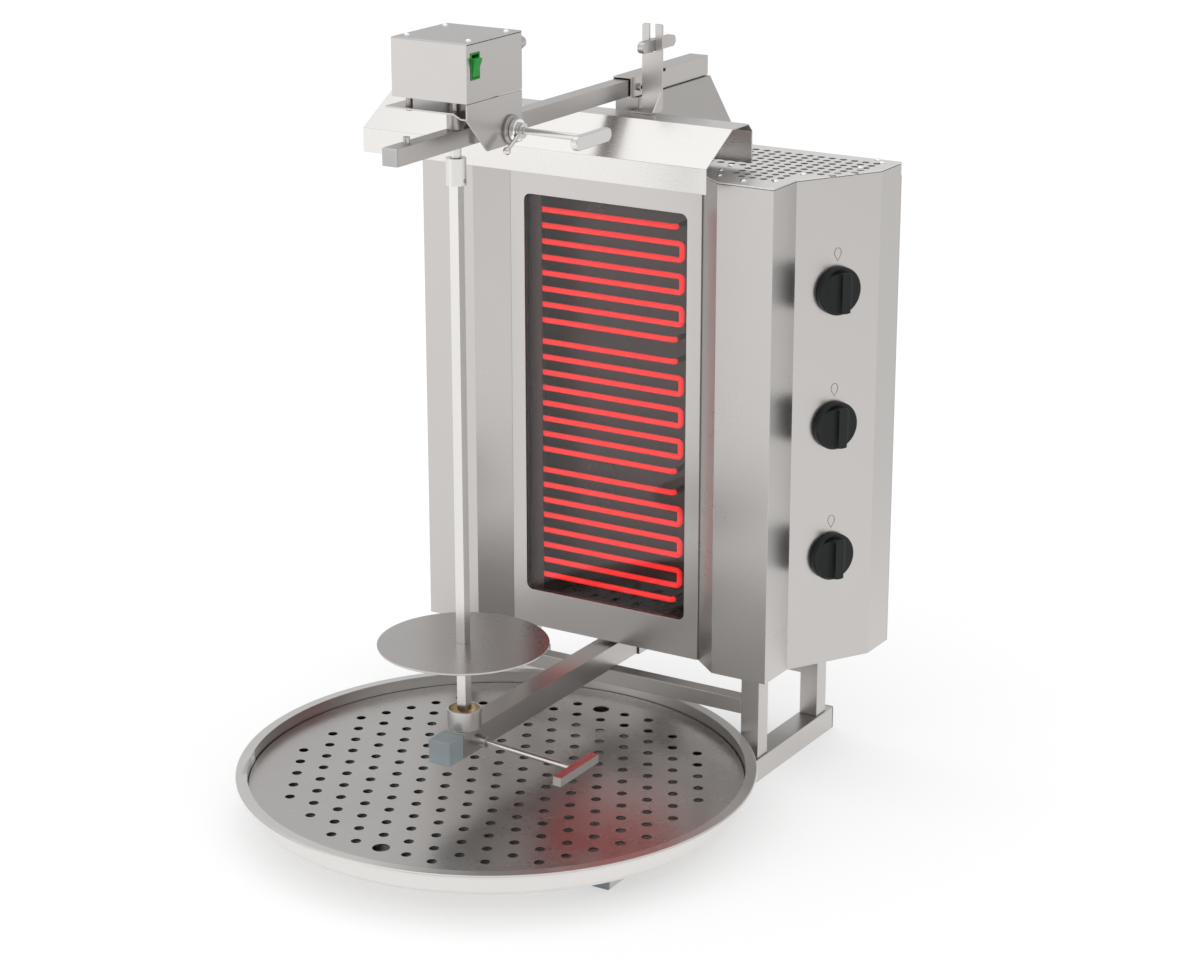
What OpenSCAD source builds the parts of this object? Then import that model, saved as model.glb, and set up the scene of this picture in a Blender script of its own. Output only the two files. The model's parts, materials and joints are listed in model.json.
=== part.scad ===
/* [Base] */
// Outer side of the square base rails
rail_size = 30; // [25:1:40]
// Length of each base rail with its end caps
rail_length = 572; // [520:1:640]
// Distance from the cabinet's front panel to the front ends of the rails
rail_reach = 377; // [330:1:420]
// Distance from the middle plane to each rail's middle
rail_offset = 219; // [212:1:235]
// Wall of the rails and the lower arm
heavy_wall = 2; // [1.5:0.1:3]
// Thickness of the plastic rail caps in front of the tube end
cap_face = 3; // [2:0.5:5]
// Depth of the plugs on caps inside their tubes
plug_depth = 12; // [8:1:20]
// Gap between a plug and the tube it closes
plug_gap = 0.2; // [0.1:0.05:0.4]
// Outer side of the square legs
leg_size = 25; // [20:1:30]
// Height of the legs between the rails and the cabinet
leg_height = 110; // [95:1:130]
// Distance of the front legs' front face ahead of the front panel
leg_lead = 10; // [5:1:20]
// Distance between the front faces of the front and rear legs
leg_spacing = 161; // [140:1:165]
// Outer side of the square rails that cross between the legs
cross_size = 20; // [15:1:25]
// Top of the cross rails below the cabinet floor
cross_drop = 34.6; // [32:0.1:45]
// Wall of the legs, the cross rails and the upper arm
tube_wall = 1.5; // [1:0.1:3]

/* [Cabinet] */
// Width of the front panel between the two folded wings
panel_width = 274; // [264:1:300]
// Sideways reach of each wing's slanted part
wing_reach = 36.9; // [25:0.1:45]
// Distance by which the wings stand ahead of the panel
wing_depth = 28.9; // [15:0.1:35]
// Width of the flat front of each wing
wing_front = 75.6; // [60:0.1:90]
// Length of each narrow side face behind the wing
side_depth = 58.2; // [45:0.1:70]
// Sideways reach of each slanted control face
control_reach = 61.1; // [45:0.1:75]
// Depth of each slanted control face
control_depth = 104.6; // [90:0.1:120]
// Length of each rear side face
rear_side = 55.8; // [40:0.1:70]
// Height of the cabinet from its floor to the top of its deck
cabinet_height = 624.2; // [600:0.1:700]
// Thickness of the cabinet's steel sheet
sheet = 1.5; // [1:0.1:2]
// Shadow gap between the deck and the walls below it
deck_seam = 0.8; // [0.5:0.1:0.9]
// Width of the folded flanges inside the casing
flange_width = 13; // [10:0.5:15]
// Gap between the floor plate and the walls around it
floor_gap = 0.3; // [0.2:0.1:0.5]
// Thickness of the floor plate
floor_thickness = 2; // [1.5:0.1:3]

/* [Deck vents] */
// Diameter of the vent holes in the deck
vent_diameter = 9.5; // [8:0.1:11]
// Distance between vent holes from side to side
vent_pitch_x = 15.2; // [13:0.1:18]
// Distance between rows of vent holes from front to back
vent_pitch_y = 15; // [13:0.1:18]
// Rows of vent holes behind the hood
vent_rows = 7; // [3:1:7]
// Columns of vent holes on each side of the middle
vent_columns = 19; // [8:1:19]
// Distance from the front panel to the first row of vent holes behind the hood
vent_start = 74; // [70:1:80]
// Distance from the front panel to the first row of vent holes over the wings
wing_vent_start = 14; // [10:1:18]
// Number of slots in each column of the rear panel
rear_slots = 8; // [4:1:10]
// Length of a rear slot
rear_slot_length = 90; // [60:5:110]
// Distance between neighbouring rear slots
rear_slot_pitch = 18; // [14:1:24]
// Height of the lowest rear slots above the cabinet floor
rear_slot_low = 180; // [150:5:240]
// Distance from the middle plane to the middle of each column of rear slots
rear_slot_offset = 120; // [90:5:150]
// Height of the notch at each upper corner of the rear panel
corner_notch = 14; // [8:1:20]

/* [Heater] */
// Width of the heater window
window_width = 234; // [200:1:240]
// Height of the lower edge of the window
window_bottom = 49; // [40:1:60]
// Height of the upper edge of the window
window_top = 572.5; // [560:0.5:580]
// Radius of the window's corners
window_radius = 9; // [5:0.5:15]
// Diameter of a heater bar
bar_diameter = 7; // [6:0.1:8.5]
// Distance between neighbouring bars of one zone
bar_pitch = 20.4; // [18:0.1:21]
// Number of bars in one zone
bars_per_zone = 8; // [4:2:8]
// Height of the lowest bar
first_bar = 65.7; // [62:0.1:75]
// Gap between the outer bars of two zones
zone_gap = 27.9; // [20:0.1:32]
// Distance of the bars behind the front panel
bar_depth = 20; // [16:0.5:24]
// Reach of the bars' end loops to the left of the middle
bar_left = 112.5; // [90:0.1:114]
// Edge of the holder strip to the left of the middle
holder_edge = 100.5; // [80:0.5:103]
// Width of the holder strip in front of the left loops
holder_width = 15; // [10:0.5:16]
// Reach of the bars' end loops to the right of the middle
bar_right = 102.6; // [90:0.5:106]
// Reach of the free bar ends to the right of the middle
tail_right = 92.6; // [80:0.5:96]
// Bend radius of the bars, measured to their middle
bar_bend = 4.5; // [4:0.1:6]
// Depth of the reflector pan behind the front panel
pan_depth = 57; // [50:1:70]
// Thickness of the reflector's sheet
pan_sheet = 1.2; // [0.8:0.1:1.5]
// Side of the ceramic terminal blocks
block_size = 18; // [14:1:24]

/* [Controls] */
// Diameter of a knob
knob_diameter = 60; // [50:1:66]
// Thickness of a knob's round flange
knob_flange = 8; // [6:0.5:10]
// Height of the scooped grip bar in front of the flange
knob_grip = 13; // [9:0.5:16]
// Width of the grip bar
grip_width = 12; // [9:0.5:16]
// Height of the lowest knob above the cabinet floor
knob_low = 142; // [120:1:150]
// Distance between neighbouring knobs
knob_pitch = 170.1; // [150:0.1:175]
// Diameter of a regulator's shaft
regulator_shaft = 6; // [5:0.5:8]
// Side of a regulator's square body
regulator_size = 44; // [36:1:50]
// Depth of a regulator's body
regulator_depth = 36; // [28:1:45]
// Gap round a turning part
turn_gap = 0.3; // [0.2:0.05:0.5]

/* [Hood] */
// Reach of the hood to the left of the middle
hood_left = 317.7; // [280:0.1:318.5]
// Reach of the hood to the right of the middle
hood_right = 175.9; // [150:0.1:200]
// Distance of the hood's front lip ahead of the front panel
hood_reach = 60; // [45:1:75]
// Height of the hood's front lip
lip_height = 31; // [20:1:40]
// Distance from the top of the deck down to the lip's lower edge
lip_drop = 10.2; // [4:0.1:19]
// Height of the hood's ridge above the deck
hood_rise = 57.8; // [46:0.1:64]
// Distance from the front panel to the front of the ridge
ridge_front = 3; // [-5:0.5:10]
// Distance from the front panel to the back of the ridge
ridge_back = 43.5; // [38:0.5:48]
// Distance from the front panel to the hood's back plate
hood_back = 53.8; // [50:0.1:60]
// Height of the sloping edge between the ridge and the back plate
hood_chamfer = 10; // [5:0.5:14]
// Gap between the hood's back plate and the deck
hood_lift = 8; // [5:0.5:12]

/* [Arms] */
// Outer side of the square upper arm
upper_size = 20; // [18:0.5:25]
// Gap between the hood's ridge and the upper arm
upper_clearance = 17.4; // [8:0.1:28]
// Distance from the front panel to the front end of the upper arm
upper_reach = 450.2; // [430:0.1:480]
// Distance from the front panel to the rear end of the upper arm
upper_rear = 226; // [200:1:232]
// Diameter of the stop pin on the upper arm
stop_diameter = 8; // [6:0.5:10]
// Height of the stop pin above the upper arm
stop_height = 7.6; // [5:0.1:10]
// Distance from the front panel to the stop pin
stop_reach = 419.3; // [405:0.1:425]
// Distance from the front panel to the front end of the sleeve
sleeve_front = 42; // [30:0.5:50]
// Length of the sleeve that carries the upper arm
sleeve_length = 191.6; // [150:0.1:191.6]
// Gap between the upper arm and the sleeve at the sides and the top
sleeve_play = 1.5; // [0.5:0.1:1.7]
// Shadow gap between the sleeve and its pedestal
sleeve_lift = 0.8; // [0.5:0.1:1]
// Diameter of the nut welded to the sleeve's side
sleeve_nut = 9; // [7:0.5:11]
// Distance from the sleeve's front end to its nut
sleeve_nut_setback = 19; // [12:1:30]
// Distance from the sleeve's front end to the notch in its top edge
sleeve_notch_setback = 76; // [60:1:90]
// Gap between the upper arm and the sleeve's floor
sleeve_seat = 0.3; // [0.2:0.1:0.5]
// Width of the pedestal under the sleeve
pedestal_width = 33.4; // [28:0.1:40]
// Distance from the front panel to the rear tip of the pedestal
pedestal_rear = 291; // [270:1:310]
// Height of the pedestal's rear tip above the deck
pedestal_tip_rise = 3.8; // [-20:0.1:25]
// Distance from the top of the deck down to the pedestal's lowest corner
pedestal_foot_drop = 68.2; // [45:0.1:100]
// Thickness of the pedestal's sheet
pedestal_sheet = 2; // [1.5:0.1:3]
// Outer side of the square lower arm
lower_size = 30; // [25:0.5:35]
// Distance from the front panel to the front end of the lower arm's tube
lower_reach = 347; // [335:1:360]
// Length of the plastic end cap of the lower arm
lower_cap = 30.6; // [20:0.1:40]
// Distance from the front panel to the rear end of the lower arm
lower_rear = 176; // [160:1:190]
// Gap between sliding pieces
slide_gap = 0.3; // [0.2:0.05:0.5]
// Length of the guide bracket under the cabinet floor
guide_length = 50; // [30:1:80]
// Distance from the front panel to the guide bracket
guide_setback = 60; // [40:1:90]

/* [Skewer] */
// Distance from the front panel to the skewer's axis
skewer_reach = 323; // [300:0.5:335]
// Side of the square skewer
skewer_size = 12; // [10:0.5:14]
// Radius of the disc that carries the meat
disc_radius = 102.5; // [80:0.5:120]
// Thickness of the disc
disc_thickness = 2.5; // [2:0.1:4]
// Height of the disc's upper face above the cabinet floor
disc_top = 103.5; // [80:0.5:140]
// Diameter of the coupling socket
socket_diameter = 23.5; // [20:0.5:28]
// Length of the coupling socket
socket_length = 31; // [25:0.5:40]
// Gap between the upper arm and the top of the coupling socket
socket_drop = 12.4; // [8:0.1:16]
// Diameter of the output shaft
shaft_diameter = 12.5; // [10:0.5:13]
// Diameter of the hole in the upper arm for the output shaft
arm_bore = 14; // [13.5:0.1:16]
// Outer diameter of the bearing cup
cup_diameter = 41; // [36:0.5:46]
// Height of the bearing cup above the lower arm
cup_height = 24.3; // [18:0.1:30]
// Wall of the bearing cup
cup_wall = 2; // [1.5:0.1:3]
// Diameter of the skewer's round lower end
journal_diameter = 10; // [8:0.5:11]
// Gap between the skewer's lower end and its bush
journal_gap = 0.1; // [0.05:0.01:0.3]

/* [Drive] */
// Width of the motor box
box_width = 100; // [90:1:120]
// Depth of the motor box from front to back
box_depth = 112; // [100:1:130]
// Height of the motor box with its lid
box_height = 66.5; // [55:0.5:80]
// Distance from the front panel to the rear face of the motor box
box_rear = 262; // [250:1:275]
// Height of the motor box's floor above the upper arm
box_lift = 40.6; // [36:0.1:50]
// Height of the cover's rear flange
lid_height = 4; // [3:0.5:8]
// Outer radius of the motor box's folds
box_fold = 2; // [1.6:0.1:2.4]
// Shadow gap under the motor box's cover and over the side plate
box_seam = 0.8; // [0.5:0.1:1]
// Diameter of the screw heads on the motor box
lid_screw = 7.5; // [6:0.5:9]
// Height of the screw heads on the motor box
lid_screw_height = 2.6; // [2:0.1:3]
// Thickness of the motor box's sheet
box_sheet = 1.5; // [1:0.1:2]
// Top of the shelf above the upper arm
shelf_lift = 28.6; // [24:0.1:32]
// Thickness of the carriage's sheets
plate_sheet = 2; // [1.5:0.1:3]
// Diameter of the bushing round the output shaft
bushing_diameter = 20; // [18:0.5:24]
// Distance from the skewer's axis back to the clamp screw
clamp_setback = 37; // [30:0.5:45]
// Height of the clamp screw above the upper arm's lower face
clamp_height = 18.6; // [14:0.1:22]
// Diameter of the clamp screw
clamp_diameter = 7.5; // [6:0.1:9]
// Reach of the clamp handle to the right of the middle
clamp_reach = 160; // [130:1:175]
// Length of the upper clamp handle's grip
grip_length = 75; // [60:1:90]
// Diameter of the cable gland
gland_diameter = 18; // [15:0.5:22]
// Diameter of the bore through both cable glands
gland_bore = 8; // [6:0.5:10]
// Diameter of the flange on each cable gland
gland_flange = 22; // [20:0.5:26]
// Distance from the cabinet's left side to the mains gland
gland_inset = 60; // [40:1:90]
// Height of the mains gland above the cabinet floor
gland_rise = 70; // [50:1:100]
// Height of the switch's frame
switch_height = 30; // [28:0.5:36]
// Width of the switch's frame
switch_width = 18; // [16:0.5:28]
// Tilt of the switch's rocker either side of its middle
switch_tilt = 14; // [8:1:15]

/* [Lower clamp] */
// Slope of the lower clamp screw
lower_slope = 3.4; // [0:0.1:6]
// Diameter of the lower clamp screw
lower_screw = 6.6; // [5:0.1:8]
// Length of the lower clamp screw outside the arm
lower_screw_length = 136; // [110:1:150]
// Length of the lower clamp handle's bar
lower_bar_length = 84; // [60:1:90]
// Thickness of the lower clamp handle's bar
lower_bar_size = 11; // [8:0.5:14]
// Diameter of the boss on the lower arm
boss_diameter = 14; // [12:0.5:18]
// Length of the boss on the lower arm
boss_length = 16; // [10:0.5:22]

/* [Hanger] */
// Left edge of the hanger plate
hanger_left = 20; // [18:0.5:24]
// Width of the hanger plate
hanger_width = 28; // [24:0.5:34]
// Height of the hanger plate
hanger_height = 106; // [90:1:120]
// Thickness of the hanger plate
hanger_sheet = 3; // [2:0.5:4]
// Width of the slot at the top of the hanger plate
slot_width = 8.6; // [7:0.1:12]
// Length of the latch bar
latch_length = 80; // [60:1:90]
// Height of the latch bar
latch_height = 14; // [10:0.5:16]
// Height of the latch bar's pin above the hanger plate's foot
latch_rise = 80; // [70:1:90]
// Diameter of the latch bar's pin
latch_pin_diameter = 4; // [3:0.5:5]

/* [Drip tray] */
// Outer radius of the drip tray with its lip
tray_radius = 318.5; // [300:0.5:318.5]
// Width of the tray's lip with its rolled edge
lip_width = 12.5; // [8:0.5:16]
// Height of the tray
tray_height = 31.5; // [25:0.5:45]
// Radius of the fold between the tray's floor and its wall
tray_fold = 8; // [5:0.5:12]
// Diameter of the rolled edge
bead_diameter = 5; // [4:0.5:7]
// Thickness of the tray and its insert
tray_sheet = 1.5; // [1:0.1:2]
// Distance from the front panel to the tray's middle
tray_reach = 253.5; // [250:0.5:262]
// Gap between the tray's wall and the insert
insert_gap = 1.5; // [1:0.1:3]
// Height of the insert's upper face above the tray's floor
insert_rise = 15; // [10:0.5:20]
// Diameter of the drip holes
drip_diameter = 12; // [8:0.5:14]
// Distance between neighbouring drip holes
drip_pitch = 35.5; // [28:0.5:45]
// Distance from the insert's edge to the field of drip holes
drip_margin = 41; // [28:1:90]
// Diameter of the two finger holes
finger_diameter = 21; // [18:0.5:25]

/* [Hidden] */
$fn = 48;

// The design frame has X to the right, Y to the back and Z up, with its origin at the
// lower edge of the front panel. place() moves it to the middle of the outline's foot.
z_shift = leg_height + rail_size;
y_shift = (tray_reach + tray_radius - pedestal_rear) / 2;

// Heights over the deck
lip_bottom = cabinet_height - lip_drop;
hood_top = cabinet_height + hood_rise;
upper_bottom = hood_top + upper_clearance;
pedestal_tip = cabinet_height + pedestal_tip_rise;
pedestal_foot = cabinet_height - pedestal_foot_drop;

// Plan of the cabinet's right half, counter-clockwise from the panel's edge
panel_x = panel_width / 2;
wing_x = panel_x + wing_reach;
side_x = wing_x + wing_front;
rear_x = side_x + control_reach;
wing_y = -wing_depth;
knee_y = wing_y + side_depth;
control_y = knee_y + control_depth;
back_y = control_y + rear_side;
right_plan = [
  [panel_x, 0],
  [wing_x, wing_y],
  [side_x, wing_y],
  [side_x, knee_y],
  [rear_x, control_y],
  [rear_x, back_y]
];
left_plan = [for (i = [len(right_plan) - 1:-1:0]) [-right_plan[i][0], right_plan[i][1]]];
full_plan = concat(right_plan, left_plan);
control_length = norm([control_reach, control_depth]);
control_angle = -atan2(control_reach, control_depth);
wall_top = cabinet_height - sheet - deck_seam;
flange_top = cabinet_height - sheet;
casing_path = concat(
  [[panel_x - flange_width, sheet], [panel_x + 0.3, sheet]],
  [for (i = [1:4]) right_plan[i]],
  [[rear_x, back_y - sheet], [rear_x - 1.5 * flange_width, back_y - sheet]]
);
flange_path = concat(
  [[panel_x + 0.3, sheet]],
  [for (i = [1:4]) right_plan[i]],
  [[rear_x, back_y - sheet]]
);

// Heater
zone_height = (bars_per_zone - 1) * bar_pitch;
zone_step = zone_height + zone_gap;
bar_radius = bar_diameter / 2;
left_link_x = -bar_left + bar_radius;
tail_x = tail_right - bar_radius;
right_link_x = bar_right - bar_radius;
pan_x = panel_x - flange_width - 1;
pan_bottom = window_bottom - 4;
pan_top = window_top + 4;

// Hood and pedestal
hood_path = [
  [hood_back, cabinet_height + hood_lift],
  [hood_back, hood_top - hood_chamfer],
  [ridge_back, hood_top],
  [ridge_front, hood_top],
  [-hood_reach, lip_bottom + lip_height],
  [-hood_reach, lip_bottom]
];
pedestal_front = hood_back + 0.2;
sleeve_bottom = upper_bottom - sleeve_seat - tube_wall;
pedestal_top = sleeve_bottom - sleeve_lift;
sleeve_rear = sleeve_front + sleeve_length;

// Arms
upper_top = upper_bottom + upper_size;
lower_top = -cross_drop + slide_gap + lower_size;
lower_bottom = lower_top - lower_size;
skewer_y = -skewer_reach;

// Drive
box_floor = upper_top + box_lift;
box_top = box_floor + box_height;
box_front_y = -box_rear - box_depth;
box_half = box_width / 2;
shelf_top = upper_top + shelf_lift;
clamp_y = skewer_y + clamp_setback;
clamp_z = upper_bottom + clamp_height;
clamp_bore = clamp_diameter + 2 * turn_gap;
socket_top = upper_bottom - socket_drop;
socket_bottom = socket_top - socket_length;
saddle_half = upper_size / 2 + 4;
switch_y = box_front_y + 17;
switch_z = box_floor + 40;
switch_pivot_x = box_half - 4;
gland_x = 32;
gland_z = box_floor + 48;
dome_radius = (pow(lid_screw / 2, 2) + pow(lid_screw_height, 2)) / (2 * lid_screw_height);
rocker_half = switch_height / 2 - 1;
rocker_tip = rocker_half - 3.3;
rocker_reach = 7.9;

// Lower clamp
lower_clamp_z = lower_top - 13.7;
cup_bottom = lower_top;
cup_top = lower_top + cup_height;
bush_top = cup_top - 4;
stem_diameter = 14;

// Hanger
hanger_y = pedestal_front + 2;
hanger_z = hood_top + 0.3;
latch_z = hanger_z + latch_rise;
latch_y = hanger_y + hanger_sheet + latch_height / 2 + 2.5;
slot_x = hanger_left + hanger_width / 2;
ear_sheet = 1.5;

// Tray
tray_bottom = -leg_height + 0.2;
tray_wall_r = tray_radius - lip_width;
tray_top = tray_bottom + tray_height;
insert_radius = tray_wall_r - tray_sheet - insert_gap;
insert_top = tray_bottom + tray_sheet + insert_rise;
drip_row = drip_pitch * sqrt(3) / 2;
drip_field = insert_radius - drip_margin;
finger_row = 2 * floor(drip_field / drip_row / 2);
rim_radius = tray_wall_r - tray_fold - 3;
rim_lift = 0.3;

wing_vents = [11:15];

steel = [0.72, 0.72, 0.70];
bright = [0.86, 0.86, 0.86];
shade = [0.45, 0.44, 0.42];
black = [0.08, 0.08, 0.08];

// Unit vector of a segment, turned a quarter to its left
function left_of(a, b) = let (d = (b - a) / norm(b - a)) [-d[1], d[0]];

// Mitred point of an open path moved by t to its left
function moved(p, i, t) =
  i == 0 ? p[0] + t * left_of(p[0], p[1]) :
  i == len(p) - 1 ? p[i] + t * left_of(p[i - 1], p[i]) :
  let (m = left_of(p[i - 1], p[i]), n = left_of(p[i], p[i + 1]))
  p[i] + t * (m + n) / (1 + m * n);

// Outline of a folded sheet of thickness t to the left of an open path
function folded(p, t) = concat(p, [for (i = [len(p) - 1:-1:0]) moved(p, i, t)]);

// Closed outline moved inwards by t
function inset(p, t) = [
  for (i = [0:len(p) - 1])
    let (
      a = p[(i + len(p) - 1) % len(p)],
      b = p[(i + 1) % len(p)],
      m = left_of(a, p[i]),
      n = left_of(p[i], b)
    )
    p[i] + t * (m + n) / (1 + m * n)
];

// Moves the design frame to the part's frame
module place() translate([0, y_shift, z_shift]) children();

// Box between two corners
module block(a, b) translate(a) cube(b - a);

// Square tube between two corners, open along the axis with the given index
module square_tube(a, b, wall, axis) {
  inset_by = [for (i = [0:2]) i == axis ? -1 : wall];
  difference() {
    block(a, b);
    block(a + inset_by, b - inset_by);
  }
}

// Extrudes a drawing of Y and Z from x0 to x1
module along_x(x0, x1) translate([x0, 0, 0]) rotate([90, 0, 90]) linear_extrude(x1 - x0) children();

// Extrudes a drawing of X and Z from y0 to y1
module along_y(y0, y1) translate([0, y1, 0]) rotate([90, 0, 0]) linear_extrude(y1 - y0) children();

// Round rods along the three axes
module rod_x(x0, x1, y, z, d) translate([x0, y, z]) rotate([0, 90, 0]) cylinder(d = d, h = x1 - x0);
module rod_y(x, y0, y1, z, d) translate([x, y1, z]) rotate([90, 0, 0]) cylinder(d = d, h = y1 - y0);
module rod_z(x, y, z0, z1, d) translate([x, y, z0]) cylinder(d = d, h = z1 - z0);

// Rectangle with round corners between two corners
module round_rect(a, b, r) {
  translate(a + [r, 0]) square(b - a - [2 * r, 0]);
  translate(a + [0, r]) square(b - a - [0, 2 * r]);
  for (x = [a[0] + r, b[0] - r])
    for (y = [a[1] + r, b[1] - r])
      translate([x, y]) circle(r);
}

// Stands on the right control face at a height, with +X pointing out of the face
module on_control(z)
  translate([side_x + control_reach / 2, knee_y + control_depth / 2, z])
    rotate([0, 0, control_angle])
      children();

// ---- Base ----

module base_rails() color(steel) place()
  for (s = [-1, 1])
    square_tube(
      [s * rail_offset - rail_size / 2, -rail_reach + cap_face, -leg_height - rail_size],
      [s * rail_offset + rail_size / 2, rail_length - rail_reach - cap_face, -leg_height],
      heavy_wall, 1
    );

module rail_cap(y0, y1, plug_end) {
  inner = rail_size / 2 - heavy_wall - plug_gap;
  block(
    [-rail_size / 2, y0, -rail_size / 2],
    [rail_size / 2, y1, rail_size / 2]
  );
  block(
    [-inner, min(y0, plug_end), -inner],
    [inner, max(y1, plug_end), inner]
  );
}

module rail_caps() color([0.55, 0.58, 0.6]) place()
  for (s = [-1, 1])
    translate([s * rail_offset, 0, -leg_height - rail_size / 2]) {
      rail_cap(-rail_reach, -rail_reach + cap_face, -rail_reach + cap_face + plug_depth);
      rear = rail_length - rail_reach;
      rail_cap(rear - cap_face, rear, rear - cap_face - plug_depth);
    }

module legs() color(steel) place()
  for (s = [-1, 1])
    for (y = [-leg_lead, -leg_lead + leg_spacing])
      square_tube(
        [s * rail_offset - leg_size / 2, y, -leg_height],
        [s * rail_offset + leg_size / 2, y + leg_size, 0],
        tube_wall, 2
      );

module cross_rails() color(steel) place()
  for (y = [-leg_lead, -leg_lead + leg_spacing + (leg_size - cross_size) / 2])
    square_tube(
      [-rail_offset + leg_size / 2, y, -cross_drop - cross_size],
      [rail_offset - leg_size / 2, y + cross_size, -cross_drop],
      tube_wall, 0
    );

module lower_guide() color(steel) place() {
  inner = lower_size / 2 + slide_gap;
  path = [
    [inner + 18, 0],
    [inner + 18, -pedestal_sheet],
    [inner + pedestal_sheet, -pedestal_sheet],
    [inner + pedestal_sheet, lower_bottom - slide_gap - pedestal_sheet]
  ];
  outline = concat(path, [for (i = [3:-1:0]) [-path[i][0], path[i][1]]]);
  along_y(guide_setback, guide_setback + guide_length) difference() {
    polygon(outline);
    translate([-inner, lower_bottom - slide_gap]) square([2 * inner, lower_size + cross_drop]);
  }
}

// ---- Cabinet ----

module floor_plate() color(steel) place()
  linear_extrude(floor_thickness)
    polygon(inset(full_plan, sheet * 2 + floor_gap));

module front_panel() color(steel) place() {
  low = [-window_width / 2, window_bottom];
  high = [window_width / 2, window_top];
  along_y(0, sheet) difference() {
    translate([-panel_x, 0]) square([panel_width, wall_top]);
    round_rect(low, high, window_radius);
  }
  along_y(sheet, 8) difference() {
    round_rect(low - [pan_sheet, pan_sheet], high + [pan_sheet, pan_sheet], window_radius + pan_sheet);
    round_rect(low, high, window_radius);
  }
  block(
    [-pan_x, sheet, flange_top - sheet],
    [pan_x, sheet + flange_width, flange_top]
  );
}

module casing_half() {
  linear_extrude(wall_top) polygon(folded(casing_path, sheet));
  translate([0, 0, flange_top - sheet])
    linear_extrude(sheet)
      polygon(concat(
        [for (i = [0:len(flange_path) - 1]) moved(flange_path, i, sheet)],
        [for (i = [len(flange_path) - 1:-1:0]) moved(flange_path, i, sheet + flange_width)]
      ));
}

module left_casing() color(steel) place() mirror([1, 0, 0]) casing_half();

module right_casing() color(steel) place() difference() {
  casing_half();
  for (i = [0:2])
    on_control(knob_low + i * knob_pitch)
      rod_x(-5, 5, 0, 0, regulator_shaft + 6);
}

module rear_panel() color(steel) place()
  along_y(back_y - sheet, back_y) difference() {
    translate([-rear_x, 0]) square([2 * rear_x, wall_top]);
    translate([-rear_x + gland_inset, gland_rise]) circle(d = gland_diameter - 4);
    for (i = [0:rear_slots - 1])
      for (s = [-1, 1])
        translate([s * rear_slot_offset, rear_slot_low + i * rear_slot_pitch])
          round_rect([-rear_slot_length / 2, 0], [rear_slot_length / 2, 7], 3);
    for (s = [-1, 1])
      translate([s * rear_x - sheet, wall_top - corner_notch]) square([2 * sheet, corner_notch + 1]);
  }

module top_deck() color(steel) place()
  translate([0, 0, cabinet_height - sheet])
    linear_extrude(sheet) difference() {
      polygon(full_plan);
      for (s = [-1, 1]) {
        for (i = [2:vent_columns])
          for (j = [0:vent_rows - 1])
            translate([s * i * vent_pitch_x, vent_start + j * vent_pitch_y])
              circle(d = vent_diameter, $fn = 24);
        for (i = wing_vents)
          for (j = [i == 11 ? 1 : 0:3])
            translate([s * i * vent_pitch_x, wing_vent_start + j * vent_pitch_y])
              circle(d = vent_diameter, $fn = 24);
      }
    }

module reflector() color([0.25, 0.22, 0.2]) place() difference() {
  block([-pan_x, sheet, pan_bottom], [pan_x, sheet + pan_depth, pan_top]);
  block(
    [-pan_x + pan_sheet, 0, pan_bottom + pan_sheet],
    [pan_x - pan_sheet, sheet + pan_depth - pan_sheet, pan_top - pan_sheet]
  );
  for (x = [-90:15:90])
    for (y = [30, 44])
      rod_z(x, y, pan_bottom - 1, pan_top + 1, 8);
  for (k = [0:2])
    for (z = [0, zone_height])
      rod_y(tail_x, pan_depth - 5, pan_depth + 5, first_bar + k * zone_step + z, bar_diameter + 1.2);
}

// Quarter bend of a bar in the plane of the bars, from a point, turning through a quadrant
module corner(x, z, a) translate([x, 0, z]) rotate([90, 0, 0]) rotate([0, 0, a])
  rotate_extrude(angle = 90) translate([bar_bend, 0]) circle(bar_radius, $fn = 24);

// Square link between two neighbouring bars, with its bends towards s
module link(x, z, s) {
  rod_z(x, 0, z + bar_bend, z + bar_pitch - bar_bend, bar_diameter);
  corner(x - s * bar_bend, z + bar_bend, s > 0 ? -90 : 180);
  corner(x - s * bar_bend, z + bar_pitch - bar_bend, s > 0 ? 0 : 90);
}

module element(k) translate([0, bar_depth, first_bar + k * zone_step]) {
  for (i = [0:bars_per_zone - 1]) {
    outer = i == 0 || i == bars_per_zone - 1;
    last_x = outer ? tail_x : right_link_x;
    rod_x(left_link_x + bar_bend, last_x - bar_bend, 0, i * bar_pitch, bar_diameter);
    if (outer) {
      translate([tail_x - bar_bend, bar_bend, i * bar_pitch]) rotate([0, 0, -90])
        rotate_extrude(angle = 90) translate([bar_bend, 0]) circle(bar_radius, $fn = 24);
      rod_y(tail_x, bar_bend, pan_depth - bar_depth + 12, i * bar_pitch, bar_diameter);
    }
  }
  for (i = [0:2:bars_per_zone - 2]) link(left_link_x, i * bar_pitch, -1);
  for (i = [1:2:bars_per_zone - 3]) link(right_link_x, i * bar_pitch, 1);
}

module element_top() color([0.9, 0.25, 0.1]) place() element(2);
module element_middle() color([0.9, 0.25, 0.1]) place() element(1);
module element_bottom() color([0.9, 0.25, 0.1]) place() element(0);

module bar_holder() color(shade) place()
  block(
    [-holder_edge - holder_width, bar_depth - bar_radius - 2.5, pan_bottom + pan_sheet],
    [-holder_edge, bar_depth - bar_radius - 1, pan_top - pan_sheet]
  );

module terminal_blocks() color([0.9, 0.88, 0.82]) place()
  for (k = [0:2])
    for (z = [0, zone_height])
      translate([tail_x, sheet + pan_depth, first_bar + k * zone_step + z]) difference() {
        block([-block_size / 2, 0, -block_size / 2], [block_size / 2, block_size, block_size / 2]);
        rod_y(0, -1, block_size - 3, 0, bar_diameter + 0.2);
      }

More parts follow.
